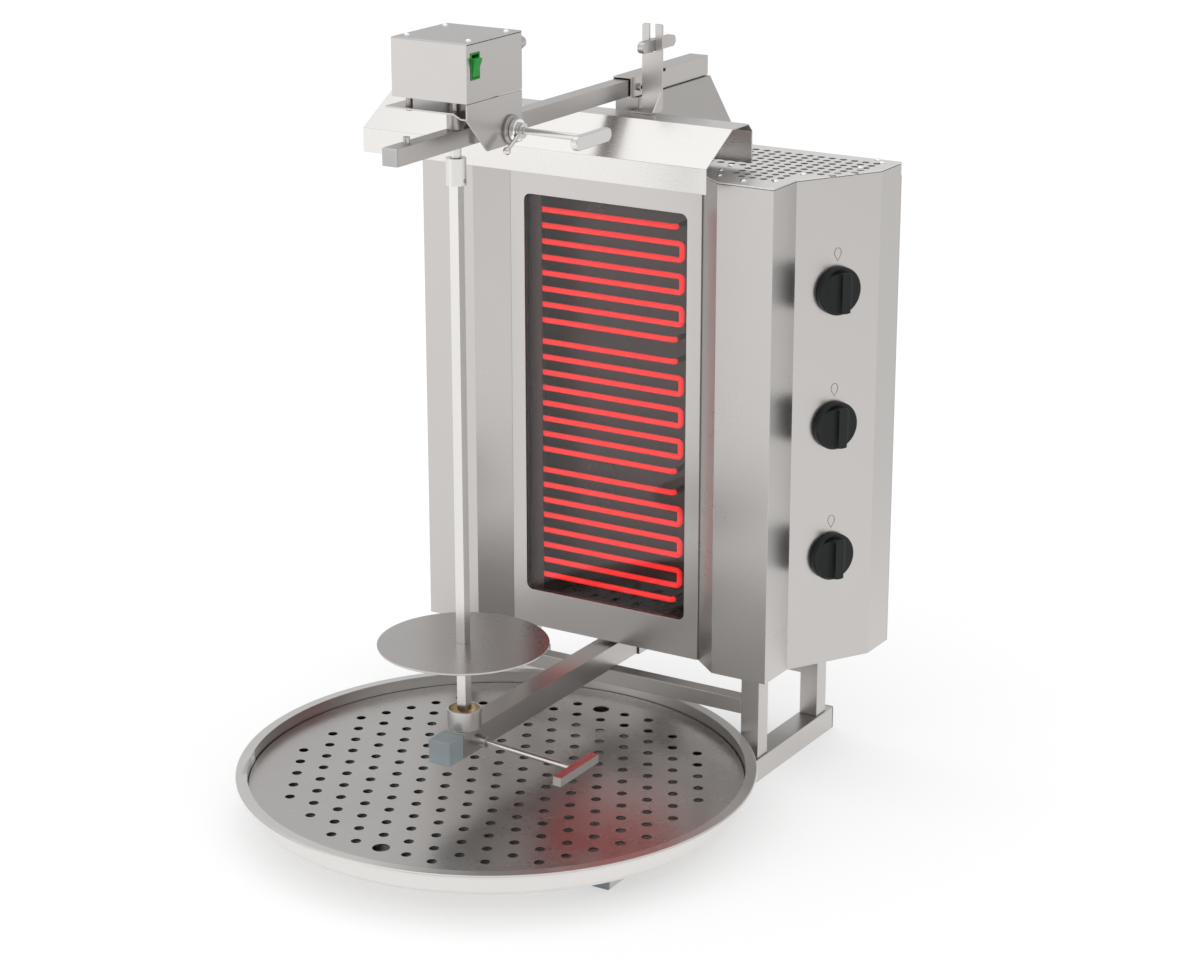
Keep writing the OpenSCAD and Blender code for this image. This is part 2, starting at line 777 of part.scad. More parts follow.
module regulators() color(shade) place()
  for (i = [0:2])
    on_control(knob_low + i * knob_pitch) {
      block(
        [-sheet - regulator_depth, -regulator_size / 2, -regulator_size / 2],
        [-sheet, regulator_size / 2, regulator_size / 2]
      );
      rod_x(-sheet - 1, 0.5, 0, 0, regulator_shaft + 4);
      rod_x(0, 13, 0, 0, regulator_shaft);
    }

// Cross-section of a knob's grip bar with a scoop on each side
module grip_profile() difference() {
  foot = grip_width / 2 + knob_grip;
  translate([-foot, 0]) square([2 * foot, knob_flange + knob_grip]);
  for (s = [-1, 1]) translate([s * foot, knob_flange + knob_grip]) circle(knob_grip);
}

module knob(i) on_control(knob_low + i * knob_pitch)
  rotate([0, 90, 0]) translate([0, 0, deck_seam]) difference() {
    union() {
      cylinder(d = knob_diameter, h = knob_flange - 2);
      translate([0, 0, knob_flange - 2]) cylinder(d1 = knob_diameter, d2 = knob_diameter - 4, h = 2);
      intersection() {
        cylinder(d = knob_diameter - 10, h = knob_flange + knob_grip);
        along_x(-knob_diameter / 2, knob_diameter / 2) grip_profile();
      }
    }
    translate([0, 0, -1]) cylinder(d = regulator_shaft + 2 * turn_gap, h = 14);
    translate([0, 0, -1]) cylinder(d = regulator_shaft + 6, h = 2.5);
  }

module knob_top() color(black) place() knob(2);
module knob_middle() color(black) place() knob(1);
module knob_bottom() color(black) place() knob(0);

// Screwed gland on a wall, with its mouth towards +Y
module gland(depth) difference() {
  union() {
    rod_y(0, -depth, 2, 0, gland_diameter - 4.6);
    rod_y(0, 0, 4, 0, gland_flange);
    rod_y(0, 4, 18, 0, gland_diameter);
    translate([0, 28, 0]) rotate([90, 0, 0]) cylinder(d1 = gland_diameter - 5, d2 = gland_diameter, h = 10);
  }
  rod_y(0, -depth - 1, 29, 0, gland_bore);
}

module mains_gland() color(black) place() 
  translate([-rear_x + gland_inset, back_y, gland_rise]) gland(8);

// ---- Hood, pedestal and hanger ----

module hood() color(bright) place() along_x(-hood_left, hood_right) polygon(folded(hood_path, sheet));

module arm_pedestal() color(shade) place() difference() {
  half = pedestal_width / 2;
  along_x(-half, half) polygon([
    [pedestal_front, cabinet_height],
    [back_y + 0.2, cabinet_height],
    [back_y + 0.2, pedestal_foot],
    [pedestal_rear - 2, pedestal_tip - 6],
    [pedestal_rear, pedestal_tip],
    [sleeve_rear, pedestal_top],
    [pedestal_front, pedestal_top]
  ]);
  along_x(-half + pedestal_sheet, half - pedestal_sheet) polygon([
    [pedestal_front + pedestal_sheet, cabinet_height - 1],
    [back_y - 6, cabinet_height - 1],
    [back_y + 2.2, cabinet_height + 6],
    [back_y + 2.2, pedestal_foot + 8],
    [pedestal_rear - 8, pedestal_tip - 4],
    [sleeve_rear - 3, pedestal_top - pedestal_sheet],
    [pedestal_front + pedestal_sheet, pedestal_top - pedestal_sheet]
  ]);
}

module arm_sleeve() color(steel) place() {
  half = upper_size / 2 + sleeve_play + tube_wall;
  top = upper_top + sleeve_play + tube_wall;
  notch_y = sleeve_front + sleeve_notch_setback;
  difference() {
    union() {
      block([-half, sleeve_front, sleeve_bottom], [half, sleeve_rear, top]);
      block([-half + 3, pedestal_front + 3, pedestal_top], [half - 3, sleeve_rear - 3, sleeve_bottom + 1]);
      rod_x(half - 1, half + 3.5, sleeve_front + sleeve_nut_setback, upper_bottom + 9, sleeve_nut);
    }
    block(
      [-half + tube_wall, sleeve_front - 1, upper_bottom - sleeve_seat],
      [half - tube_wall, sleeve_rear + 1, upper_top + sleeve_play]
    );
    block([half - tube_wall - 1, notch_y, upper_top - 1], [half + 1, notch_y + 8, top + 1]);
    rod_x(half - 3, half + 4, sleeve_front + sleeve_nut_setback, upper_bottom + 9, sleeve_nut * 0.55);
  }
}

module hanger_plate() color(shade) place() {
  right = hanger_left + hanger_width;
  top = hanger_z + hanger_height;
  along_y(hanger_y, hanger_y + hanger_sheet) difference() {
    round_rect([hanger_left, hanger_z], [right, top], 3);
    translate([slot_x - slot_width / 2, latch_z - latch_height / 2 - 2])
      square([slot_width, hanger_height]);
  }
  block([hanger_left, hanger_y - 26, hanger_z], [right, hanger_y + 1, hanger_z + 2]);
  along_x(right - 2, right) polygon([
    [hanger_y - 20, hanger_z + 1],
    [hanger_y + 1, hanger_z + 1],
    [hanger_y + 1, hanger_z + 24]
  ]);
  for (s = [-1, 1])
    difference() {
      x = slot_x + s * (slot_width / 2 + ear_sheet / 2);
      along_x(x - ear_sheet / 2, x + ear_sheet / 2) union() {
        translate([hanger_y + 1, latch_z - latch_height / 2]) square([latch_y - hanger_y - 1, latch_height]);
        translate([latch_y, latch_z]) circle(latch_height / 2);
      }
      rod_x(x - 3, x + 3, latch_y, latch_z, latch_pin_diameter);
    }
}

module latch_bar() color(steel) place() {
  x = slot_x;
  half = slot_width / 2 - turn_gap;
  round_r = latch_height / 2;
  low_y = latch_y - latch_length * 0.52;
  difference() {
    along_x(x - half, x + half) union() {
      translate([low_y + round_r, latch_z - round_r]) square([latch_length - 2 * round_r, latch_height]);
      translate([low_y + round_r, latch_z]) circle(round_r);
      translate([low_y + latch_length - round_r, latch_z]) circle(round_r);
    }
    rod_x(x - half - 1, x + half + 1, latch_y, latch_z, latch_pin_diameter + 2 * journal_gap);
  }
}

module latch_pin() color(bright) place() {
  reach = slot_width / 2 + ear_sheet + 1.5;
  rod_x(slot_x - reach, slot_x + reach, latch_y, latch_z, latch_pin_diameter);
}

// ---- Upper arm and drive ----

module upper_arm() color(steel) place() {
  difference() {
    square_tube(
      [-upper_size / 2, -upper_reach, upper_bottom],
      [upper_size / 2, upper_rear, upper_top],
      tube_wall, 1
    );
    rod_z(0, skewer_y, upper_bottom - 1, upper_top + 1, arm_bore);
  }
  rod_z(0, -stop_reach, upper_top - tube_wall, upper_top + stop_height, stop_diameter);
}

module upper_arm_plug() color(bright) place() {
  half = upper_size / 2;
  inner = half - tube_wall - plug_gap;
  block(
    [-half, -upper_reach - 2, upper_bottom],
    [half, -upper_reach, upper_top]
  );
  translate([0, 0, upper_bottom + half])
    block([-inner, -upper_reach - 1, -inner], [inner, -upper_reach + plug_depth, inner]);
}

module carriage_shelf() color(shade) place() difference() {
  along_y(box_front_y + 2, -box_rear) polygon(folded([
    [-box_half - 11, shelf_top - plate_sheet],
    [30, shelf_top - plate_sheet],
    [box_half - 10, shelf_top - plate_sheet - 5],
    [box_half - plate_sheet, shelf_top - plate_sheet - 5]
  ], plate_sheet));
  rod_z(0, skewer_y, shelf_top - 8, shelf_top + 4, arm_bore);
  for (p = standoff_spots()) rod_z(p[0], p[1], shelf_top - 8, shelf_top + 4, 5);
}

function standoff_spots() = [
  for (x = [-38, 24])
    for (y = [box_front_y + 16, -box_rear - 16])
      [x, y]
];

module carriage_plate() color(steel) place() difference() {
  along_x(box_half - plate_sheet, box_half) polygon([
    [box_front_y, box_floor - box_seam],
    [box_front_y, box_floor - 19],
    [box_front_y + 40, upper_bottom + 1.6],
    [-box_rear, upper_bottom + 1.6],
    [-box_rear, box_floor - box_seam]
  ]);
  rod_x(box_half - 5, box_half + 5, clamp_y, clamp_z, clamp_bore);
}

module carriage_saddle() color(shade) place() difference() {
  union() {
    block(
      [-saddle_half, clamp_y - 20, upper_bottom + 1.6],
      [saddle_half, clamp_y + 20, shelf_top - plate_sheet]
    );
    rod_x(saddle_half - 1, box_half - plate_sheet, clamp_y, clamp_z, 22);
  }
  block(
    [-upper_size / 2, clamp_y - 21, upper_bottom - 1],
    [upper_size / 2, clamp_y + 21, upper_top]
  );
  rod_x(upper_size / 2 - 1, box_half, clamp_y, clamp_z, clamp_bore);
}

module shaft_bushing() color(shade) place() difference() {
  rod_z(0, skewer_y, upper_top, shelf_top - plate_sheet, bushing_diameter);
  rod_z(0, skewer_y, upper_top - 1, shelf_top, shaft_diameter + 2 * turn_gap);
}

module clamp_flange() color(shade) place() difference() {
  union() {
    rod_x(box_half, box_half + 3, clamp_y, clamp_z, 34);
    translate([box_half + 3, clamp_y, clamp_z]) rotate([0, 90, 0]) cylinder(d1 = 34, d2 = 28, h = 2);
  }
  rod_x(box_half - 1, box_half + 9, clamp_y, clamp_z, clamp_bore);
}

module clamp_collar() color(bright) place() difference() {
  rod_x(box_half + 5, box_half + 12, clamp_y, clamp_z, 26);
  rod_x(box_half + 4, box_half + 13, clamp_y, clamp_z, clamp_bore);
}

module clamp_lever() color(bright) place() translate([box_half + 12 + turn_gap, clamp_y, clamp_z]) difference() {
  union() {
    rotate([0, 90, 0]) cylinder(d = 18, h = 5);
    translate([2.5, 0, 0]) rotate([29.4, 0, 0]) rotate([90, 0, 0]) cylinder(d = 4.6, h = 36);
    translate([2.5, -36 * cos(29.4), -36 * sin(29.4)]) sphere(d = 9);
  }
  rod_x(-1, 6, 0, 0, clamp_bore);
}

module clamp_handle() color(bright) place() {
  rod_x(upper_size / 2 + turn_gap, clamp_reach - 7, clamp_y, clamp_z, clamp_diameter);
  along_x(clamp_reach - 8, clamp_reach)
    round_rect([clamp_y - grip_length / 2, clamp_z - 8], [clamp_y + grip_length / 2, clamp_z + 8], 7.9);
}

module standoffs() color(bright) place()
  for (p = standoff_spots()) {
    rod_z(p[0], p[1], shelf_top, box_floor, 8);
    rod_z(p[0], p[1], shelf_top - plate_sheet - 3, shelf_top + 1, 4.6);
    rod_z(p[0], p[1], shelf_top - plate_sheet - 3.5, shelf_top - plate_sheet, 8);
  }

module motor_box() color(steel) place() {
  walls_top = box_top - box_sheet - box_seam;
  rear_top = box_top - lid_height - box_seam;
  difference() {
    union() {
      block([-box_half, box_front_y + box_sheet, box_floor], [box_half, -box_rear, rear_top]);
      block([-box_half, box_front_y + box_sheet, box_floor], [box_half, -box_rear - box_sheet, walls_top]);
    }
    block(
      [-box_half + box_sheet, box_front_y, box_floor + box_sheet],
      [box_half - box_sheet, -box_rear - box_sheet, box_top + 1]
    );
    rod_z(0, skewer_y, box_floor - 1, box_floor + 5, arm_bore + 2);
    block(
      [box_half - 5, switch_y - switch_width / 2 + 1, switch_z - rocker_half],
      [box_half + 5, switch_y + switch_width / 2 - 1, switch_z + rocker_half]
    );
    rod_y(gland_x, -box_rear - 5, -box_rear + 5, gland_z, gland_diameter - 4);
  }
  difference() {
    for (s = [-1, 1])
      block(
        [s * (box_half - 8.5) - 7.5, box_front_y + box_sheet, walls_top - box_sheet],
        [s * (box_half - 8.5) + 7.5, -box_rear - box_sheet, walls_top]
      );
    for (p = lid_screw_spots()) rod_z(p[0], p[1], box_top - 9, box_top, lid_screw / 2);
  }
}

module motor_lid() color(steel) place() difference() {
  along_x(-box_half, box_half) difference() {
    union() {
      translate([box_front_y, box_floor]) square([box_depth, box_height - box_fold]);
      translate([box_front_y + box_fold, box_floor]) square([box_depth - 2 * box_fold, box_height]);
      for (y = [box_front_y + box_fold, -box_rear - box_fold])
        translate([y, box_top - box_fold]) circle(box_fold);
    }
    translate([box_front_y + box_sheet, box_floor - 1])
      square([box_depth - 2 * box_sheet, box_height - box_sheet + 1]);
    translate([-box_rear - 2 * box_fold, box_floor - 1])
      square([3 * box_fold, box_height - lid_height + 1]);
  }
  for (p = lid_screw_spots()) rod_z(p[0], p[1], box_top - 5, box_top + 1, lid_screw / 2);
}

function lid_screw_spots() = [
  for (x = [-box_half + 9, box_half - 9])
    for (y = [box_front_y + 18, -box_rear - 18])
      [x, y]
];

module lid_screws() color(bright) place()
  for (p = lid_screw_spots()) translate([p[0], p[1], box_top]) {
    rod_z(0, 0, -box_sheet - 5, 0, lid_screw / 2);
    difference() {
      translate([0, 0, lid_screw_height - dome_radius]) sphere(dome_radius);
      translate([0, 0, -1.5 * dome_radius]) cube(3 * dome_radius, center = true);
    }
  }

module gearmotor() color(shade) place() difference() {
  union() {
    block(
      [-30, skewer_y - 32, box_floor + box_sheet],
      [30, skewer_y + 38, box_floor + 24]
    );
    rod_z(0, skewer_y + 14, box_floor + 20, box_floor + 52, 36);
  }
  rod_z(0, skewer_y, box_floor, box_floor + 16, shaft_diameter + 2 * turn_gap);
}

module rocker_frame() color([0.05, 0.35, 0.1]) place() difference() {
  half = switch_width / 2;
  union() {
    block(
      [box_half, switch_y - half, switch_z - switch_height / 2],
      [box_half + 0.8, switch_y + half, switch_z + switch_height / 2]
    );
    block(
      [box_half - 12, switch_y - half + 1.2, switch_z - rocker_half + 0.2],
      [box_half + 0.5, switch_y + half - 1.2, switch_z + rocker_half - 0.2]
    );
  }
  block(
    [box_half - 14, switch_y - half + 2.2, switch_z - rocker_half + 1.2],
    [box_half + 3, switch_y + half - 2.2, switch_z + rocker_half - 1.2]
  );
}

module rocker() color([0.1, 0.6, 0.3]) place()
  translate([switch_pivot_x, 0, switch_z]) rotate([0, switch_tilt, 0])
    along_y(switch_y - switch_width / 2 + 2.5, switch_y + switch_width / 2 - 2.5) polygon([
      [rocker_reach, -rocker_tip],
      [rocker_reach - 1, 0],
      [rocker_reach, rocker_tip],
      [2, rocker_tip - 0.4],
      [-5, 3],
      [-5, -3],
      [2, -rocker_tip + 0.4]
    ]);

module cable_gland() color(black) place() translate([gland_x, -box_rear, gland_z]) gland(box_sheet + 3);

// ---- Spindle ----

module output_shaft() color(bright) place()
  rod_z(0, skewer_y, socket_top, box_floor + 15.5, shaft_diameter);

module coupling_socket() color(bright) place() difference() {
  rod_z(0, skewer_y, socket_bottom, socket_top, socket_diameter);
  block(
    [-skewer_size / 2 - 0.1, skewer_y - skewer_size / 2 - 0.1, socket_bottom - 1],
    [skewer_size / 2 + 0.1, skewer_y + skewer_size / 2 + 0.1, socket_top - 7]
  );
  rod_x(-socket_diameter, socket_diameter, skewer_y, socket_bottom + 5.5, 5.2);
}

module cross_pin() color(shade) place()
  rod_x(-socket_diameter / 2 + 0.5, socket_diameter / 2 - 0.5, skewer_y, socket_bottom + 5.5, 5);

module skewer() color(bright) place() difference() {
  union() {
    block(
      [-skewer_size / 2, skewer_y - skewer_size / 2, cup_top - 3],
      [skewer_size / 2, skewer_y + skewer_size / 2, socket_top - 7.2]
    );
    rod_z(0, skewer_y, cup_bottom + cup_wall + 1.5, cup_top, journal_diameter);
  }
  rod_x(-skewer_size, skewer_size, skewer_y, socket_bottom + 5.5, 5.2);
}

module meat_disc() color(bright) place() difference() {
  union() {
    rod_z(0, skewer_y, disc_top - disc_thickness, disc_top, 2 * disc_radius);
    rod_z(0, skewer_y, disc_top - disc_thickness - 8, disc_top - 1, 26);
  }
  block(
    [-skewer_size / 2 - 0.1, skewer_y - skewer_size / 2 - 0.1, disc_top - 20],
    [skewer_size / 2 + 0.1, skewer_y + skewer_size / 2 + 0.1, disc_top + 1]
  );
}

// ---- Lower arm ----

// Local frame of the lower clamp screw, with +X pointing out of the arm
module on_lower_clamp() translate([lower_size / 2, skewer_y + 2, lower_clamp_z]) rotate([0, lower_slope, 0]) children();

module lower_arm() color(steel) place() difference() {
  union() {
    square_tube(
      [-lower_size / 2, -lower_reach, lower_bottom],
      [lower_size / 2, lower_rear, lower_top],
      heavy_wall, 1
    );
    difference() {
      on_lower_clamp() rod_x(-1.5, boss_length, 0, 0, boss_diameter);
      block([-lower_size, skewer_y - 30, lower_bottom - 9], [lower_size / 2 - 1, skewer_y + 30, lower_top + 9]);
    }
  }
  on_lower_clamp() rod_x(-5, boss_length + 1, 0, 0, lower_screw + 2 * turn_gap);
  rod_z(0, skewer_y, lower_top - 6, lower_top + 1, stem_diameter + 0.4);
}

module lower_arm_cap() color([0.5, 0.56, 0.6]) place() {
  half = lower_size / 2;
  inner = half - heavy_wall - plug_gap;
  block([-half, -lower_reach - lower_cap, lower_bottom], [half, -lower_reach - 0.4, lower_top]);
  translate([0, 0, lower_bottom + half])
    block([-inner, -lower_reach - 1, -inner], [inner, -lower_reach + plug_depth, inner]);
}

module bearing_cup() color(bright) place() difference() {
  union() {
    rod_z(0, skewer_y, cup_bottom, cup_top, cup_diameter);
    rod_z(0, skewer_y, lower_bottom + heavy_wall + 1, cup_bottom + 1, stem_diameter);
  }
  rod_z(0, skewer_y, cup_bottom + cup_wall, cup_top + 1, cup_diameter - 2 * cup_wall);
}

module bearing_bush() color(shade) place() difference() {
  rod_z(0, skewer_y, cup_bottom + cup_wall, bush_top - 3, cup_diameter - 2 * cup_wall - 0.2);
  rod_z(0, skewer_y, cup_bottom + cup_wall + 1, bush_top, journal_diameter + 2 * journal_gap);
}

module lower_clamp_handle() color(bright) place() on_lower_clamp() {
  rod_x(-lower_size / 2 + stem_diameter / 2 + 0.6, lower_screw_length, 0, 0, lower_screw);
  block(
    [lower_screw_length - 1, -lower_bar_length / 2, -lower_bar_size / 2],
    [lower_screw_length - 1 + lower_bar_size, lower_bar_length / 2, lower_bar_size / 2]
  );
}

// ---- Drip tray ----

module tray_profile() {
  fold = [tray_wall_r - tray_fold, tray_bottom + tray_fold];
  difference() {
    union() {
      translate([0, tray_bottom]) square([tray_wall_r - tray_fold, tray_height]);
      translate([0, tray_bottom + tray_fold]) square([tray_wall_r, tray_height - tray_fold]);
      translate(fold) circle(tray_fold);
      translate([0, tray_top - tray_sheet]) square([tray_radius - bead_diameter / 2, tray_sheet]);
      translate([tray_radius - bead_diameter / 2, tray_top - bead_diameter / 2]) circle(d = bead_diameter, $fn = 24);
    }
    translate([-1, tray_bottom + tray_sheet]) square([tray_wall_r - tray_fold + 1, tray_height]);
    translate([-1, tray_bottom + tray_fold]) square([tray_wall_r - tray_sheet + 1, tray_height]);
    translate(fold) circle(tray_fold - tray_sheet);
    translate([-2 * tray_radius, tray_bottom - 1]) square([2 * tray_radius, tray_height + 2]);
  }
}

module drip_tray() color(steel) place()
  translate([0, -tray_reach, 0]) rotate_extrude($fn = 180) tray_profile();

module perforated_insert() color(bright) place() translate([0, -tray_reach, insert_top - tray_sheet])
  linear_extrude(tray_sheet) difference() {
    circle(insert_radius, $fn = 180);
    for (j = [-finger_row:finger_row])
      for (i = [-finger_row:finger_row]) {
        p = [(i + (abs(j) % 2) / 2) * drip_pitch, j * drip_row];
        finger = p[0] == 0 && abs(j) == finger_row;
        if (norm(p) < drip_field)
          translate(p) circle(d = finger ? finger_diameter : drip_diameter, $fn = 24);
      }
  }

module insert_rim() color(bright) place() translate([0, -tray_reach, tray_bottom + tray_sheet + rim_lift])
  linear_extrude(insert_rise - tray_sheet - rim_lift) difference() {
    circle(rim_radius, $fn = 180);
    circle(rim_radius - tray_sheet, $fn = 180);
  }

base_rails();
rail_caps();
legs();
cross_rails();
lower_guide();
floor_plate();
front_panel();
left_casing();
right_casing();
rear_panel();
top_deck();
reflector();
element_top();
element_middle();
element_bottom();
bar_holder();
terminal_blocks();
regulators();
knob_top();
knob_middle();
knob_bottom();
mains_gland();
hood();
arm_pedestal();
arm_sleeve();
hanger_plate();
latch_bar();
latch_pin();
upper_arm();
upper_arm_plug();
carriage_shelf();
carriage_plate();
carriage_saddle();
shaft_bushing();
clamp_flange();
clamp_collar();
clamp_lever();
clamp_handle();
standoffs();
motor_box();
motor_lid();
lid_screws();
gearmotor();
rocker_frame();
rocker();
cable_gland();
output_shaft();
coupling_socket();
cross_pin();
skewer();
meat_disc();
lower_arm();
lower_arm_cap();
bearing_cup();
bearing_bush();
lower_clamp_handle();
drip_tray();
perforated_insert();
insert_rim();
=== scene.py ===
import json
import math

import bmesh
import bpy
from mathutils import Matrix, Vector

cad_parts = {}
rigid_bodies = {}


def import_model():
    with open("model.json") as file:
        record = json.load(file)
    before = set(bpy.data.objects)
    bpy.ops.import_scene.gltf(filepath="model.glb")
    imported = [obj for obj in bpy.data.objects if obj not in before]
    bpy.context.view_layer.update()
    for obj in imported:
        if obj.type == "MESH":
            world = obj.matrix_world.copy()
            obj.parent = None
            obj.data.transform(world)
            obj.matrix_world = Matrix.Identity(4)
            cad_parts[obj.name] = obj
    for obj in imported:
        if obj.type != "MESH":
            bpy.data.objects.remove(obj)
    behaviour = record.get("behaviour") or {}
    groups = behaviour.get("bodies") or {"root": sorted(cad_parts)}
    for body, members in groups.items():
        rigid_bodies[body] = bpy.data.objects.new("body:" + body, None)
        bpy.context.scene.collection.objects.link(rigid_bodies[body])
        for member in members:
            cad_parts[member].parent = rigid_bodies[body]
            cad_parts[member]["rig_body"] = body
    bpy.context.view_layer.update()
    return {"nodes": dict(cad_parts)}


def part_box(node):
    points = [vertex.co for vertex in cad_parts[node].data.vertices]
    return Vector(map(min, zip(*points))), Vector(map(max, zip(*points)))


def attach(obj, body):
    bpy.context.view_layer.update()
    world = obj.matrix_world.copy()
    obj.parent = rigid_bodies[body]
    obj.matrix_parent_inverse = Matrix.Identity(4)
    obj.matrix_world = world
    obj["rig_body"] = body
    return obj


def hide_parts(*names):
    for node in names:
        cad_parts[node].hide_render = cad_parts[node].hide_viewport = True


bl_info = {
    "name": "Electric Skewer Grill",
    "version": (1, 0, 0),
    "blender": (4, 5, 0),
    "location": "View3D > Sidebar > Grill",
    "description": "Finishes an electric skewer grill and sets it in a plain studio",
    "category": "Object",
}

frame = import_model()

# The grill's own measuring frame has its origin at the lower edge of the front panel.
PANEL_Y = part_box("front_panel")[0].y
FLOOR_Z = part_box("front_panel")[0].z

# Screws of the deck's right half, and its top, in the millimetres that at() takes
DECK_TOP = 624.2
DECK_SCREWS = (
    (143.5, 59.6), (144, 31.2), (157.1, 4.2), (197.3, -8.5), (232.6, 8.4),
    (242.2, 60.6), (283.1, 130.9), (293.1, 170), (281.6, 182),
)

# Knob marks: heights of their middles in millimetres, and points round each drop
MARK_HEIGHTS = (188.4, 358.5, 528.6)
MARK_POINTS = 28

# Most values of a noise texture lie between these
NOISE_LOW, NOISE_HIGH = 0.3, 0.7

# Refractive index that gives the pane its faint mirror
GLASS_INDEX = 1.38

# Light that the floor adds: to the camera, and to reflections in front and behind
FLOOR_SEEN = 0.46
FLOOR_MIRRORED_FRONT, FLOOR_MIRRORED_BACK = 0.76, 0.5


def at(x, y, z):
    """A place given in millimetres from the front panel's lower edge."""
    return Vector((x / 1000, y / 1000 + PANEL_Y, z / 1000 + FLOOR_Z))


# ---------------------------------------------------------------- settings


def colour(name, description, value):
    return bpy.props.FloatVectorProperty(
        name=name, description=description, subtype="COLOR", size=3, min=0, max=1, default=value
    )


def length(name, description, value):
    return bpy.props.FloatProperty(
        name=name, description=description, subtype="DISTANCE", unit="LENGTH", min=0, default=value
    )


class GrillFinishes(bpy.types.PropertyGroup):
    """Colours and edge sizes of the grill's finishes"""

    steel: colour("Steel", "Satin stainless sheet and tube", (0.455, 0.438, 0.425))
    bright_steel: colour("Bright steel", "Finely brushed stainless steel", (0.60, 0.585, 0.57))
    # Painted shade: the shaded steel is a darker copy of the steel, for the pedestal, bushing and
    # brackets that sit in shade
    dark_steel: colour("Shaded steel", "Duller steel of the brackets", (0.36, 0.345, 0.335))
    chrome: colour("Chrome", "Plated screws and handles", (0.78, 0.78, 0.78))
    # The pan behind the bars is drawn nearly black and patchy
    recess: colour("Recess", "Heat-darkened pan behind the bars", (0.022, 0.018, 0.016))
    glow: colour("Glow", "Light of the hot bars", (1.0, 0.004, 0.006))
    knob: colour("Knob", "Moulded knobs", (0.007, 0.009, 0.009))
    end_cap: colour("End cap", "Plastic caps on the lower tubes", (0.33, 0.38, 0.40))
    switch: colour("Switch", "Moulded switch", (0.02, 0.33, 0.045))
    glow_strength: bpy.props.FloatProperty(
        name="Glow strength", description="Brightness of the hot bars", min=0, max=20, default=0.85
    )
    edge: length("Edge", "Width of the softened edges of sheet and bar", 0.0005)


class GrillFasteners(bpy.types.PropertyGroup):
    """Sizes of the repeated fasteners"""

    deck_head: length("Deck screw head", "Diameter of the dome heads on the deck", 0.0085)
    panel_head: length("Panel screw head", "Diameter of the heads on the rear panel", 0.0070)
    head_height: length("Head height", "Height of a dome head", 0.0026)


class GrillStudio(bpy.types.PropertyGroup):
    """Camera, floor and light"""

    camera_place: bpy.props.FloatVectorProperty(
        name="Camera place", description="Where the camera stands", subtype="XYZ", size=3,
        default=at(1836.9, -3040.1, 1364.4),
    )
    camera_azimuth: bpy.props.FloatProperty(
        name="Camera azimuth", description="Turn of the camera to the left", subtype="ANGLE",
        default=math.radians(31.227),
    )
    camera_pitch: bpy.props.FloatProperty(
        name="Camera pitch", description="Tilt of the camera below level", subtype="ANGLE",
        default=math.radians(17.914),
    )
    lens: bpy.props.FloatProperty(
        name="Lens", description="Focal length on a 36 mm sensor", min=10, max=300, default=88.63
    )
    floor_size: length("Floor size", "Side of the square floor", 14.0)
    key_power: bpy.props.FloatProperty(
        name="Key power", description="Watts of the soft light at the front left", min=0, default=14
    )
    top_power: bpy.props.FloatProperty(
        name="Top power", description="Watts of the soft light overhead", min=0, default=6
    )
    world_level: bpy.props.FloatProperty(
        name="World level", description="Brightness of the studio around the grill", min=0, max=5,
        default=1.0,
    )


# ---------------------------------------------------------------- finishes


def blank_finish(name):
    finish = bpy.data.materials.new(name)
    finish.use_nodes = True
    tree = finish.node_tree
    shader = tree.nodes["Principled BSDF"]
    return finish, tree, shader


def add_node(tree, kind, **values):
    node = tree.nodes.new(kind)
    for key, value in values.items():
        setattr(node, key, value)
    return node


def scaled_place(tree, scale=(1, 1, 1)):
    """Object coordinates stretched by a scale, for grain along one direction"""
    place = add_node(tree, "ShaderNodeTexCoord")
    mapping = add_node(tree, "ShaderNodeMapping")
    mapping.inputs["Scale"].default_value = scale
    tree.links.new(place.outputs["Object"], mapping.inputs["Vector"])
    return mapping.outputs["Vector"]


def noise(tree, vector, scale, detail=3.0, roughness=0.5):
    node = add_node(tree, "ShaderNodeTexNoise")
    node.inputs["Scale"].default_value = scale
    node.inputs["Detail"].default_value = detail
    node.inputs["Roughness"].default_value = roughness
    tree.links.new(vector, node.inputs["Vector"])
    return node.outputs["Fac"]


def ranged(tree, value, low, high):
    node = add_node(tree, "ShaderNodeMapRange")
    node.inputs["From Min"].default_value = NOISE_LOW
    node.inputs["From Max"].default_value = NOISE_HIGH
    node.inputs["To Min"].default_value = low
    node.inputs["To Max"].default_value = high
    tree.links.new(value, node.inputs["Value"])
    return node.outputs["Result"]


def tinted(tree, shader, value, base, spread):
    """Lets the base colour drift by a small share either way"""
    ramp = add_node(tree, "ShaderNodeValToRGB")
    low, high = ramp.color_ramp.elements
    low.position, high.position = NOISE_LOW, NOISE_HIGH
    low.color = [c * (1 - spread) for c in base] + [1]
    high.color = [min(1, c * (1 + spread)) for c in base] + [1]
    tree.links.new(value, ramp.inputs["Fac"])
    tree.links.new(ramp.outputs["Color"], shader.inputs["Base Color"])


def bumped(tree, shader, value, distance, strength=1.0):
    bump = add_node(tree, "ShaderNodeBump")
    bump.inputs["Distance"].default_value = distance
    bump.inputs["Strength"].default_value = strength
    tree.links.new(value, bump.inputs["Height"])
    tree.links.new(bump.outputs["Normal"], shader.inputs["Normal"])


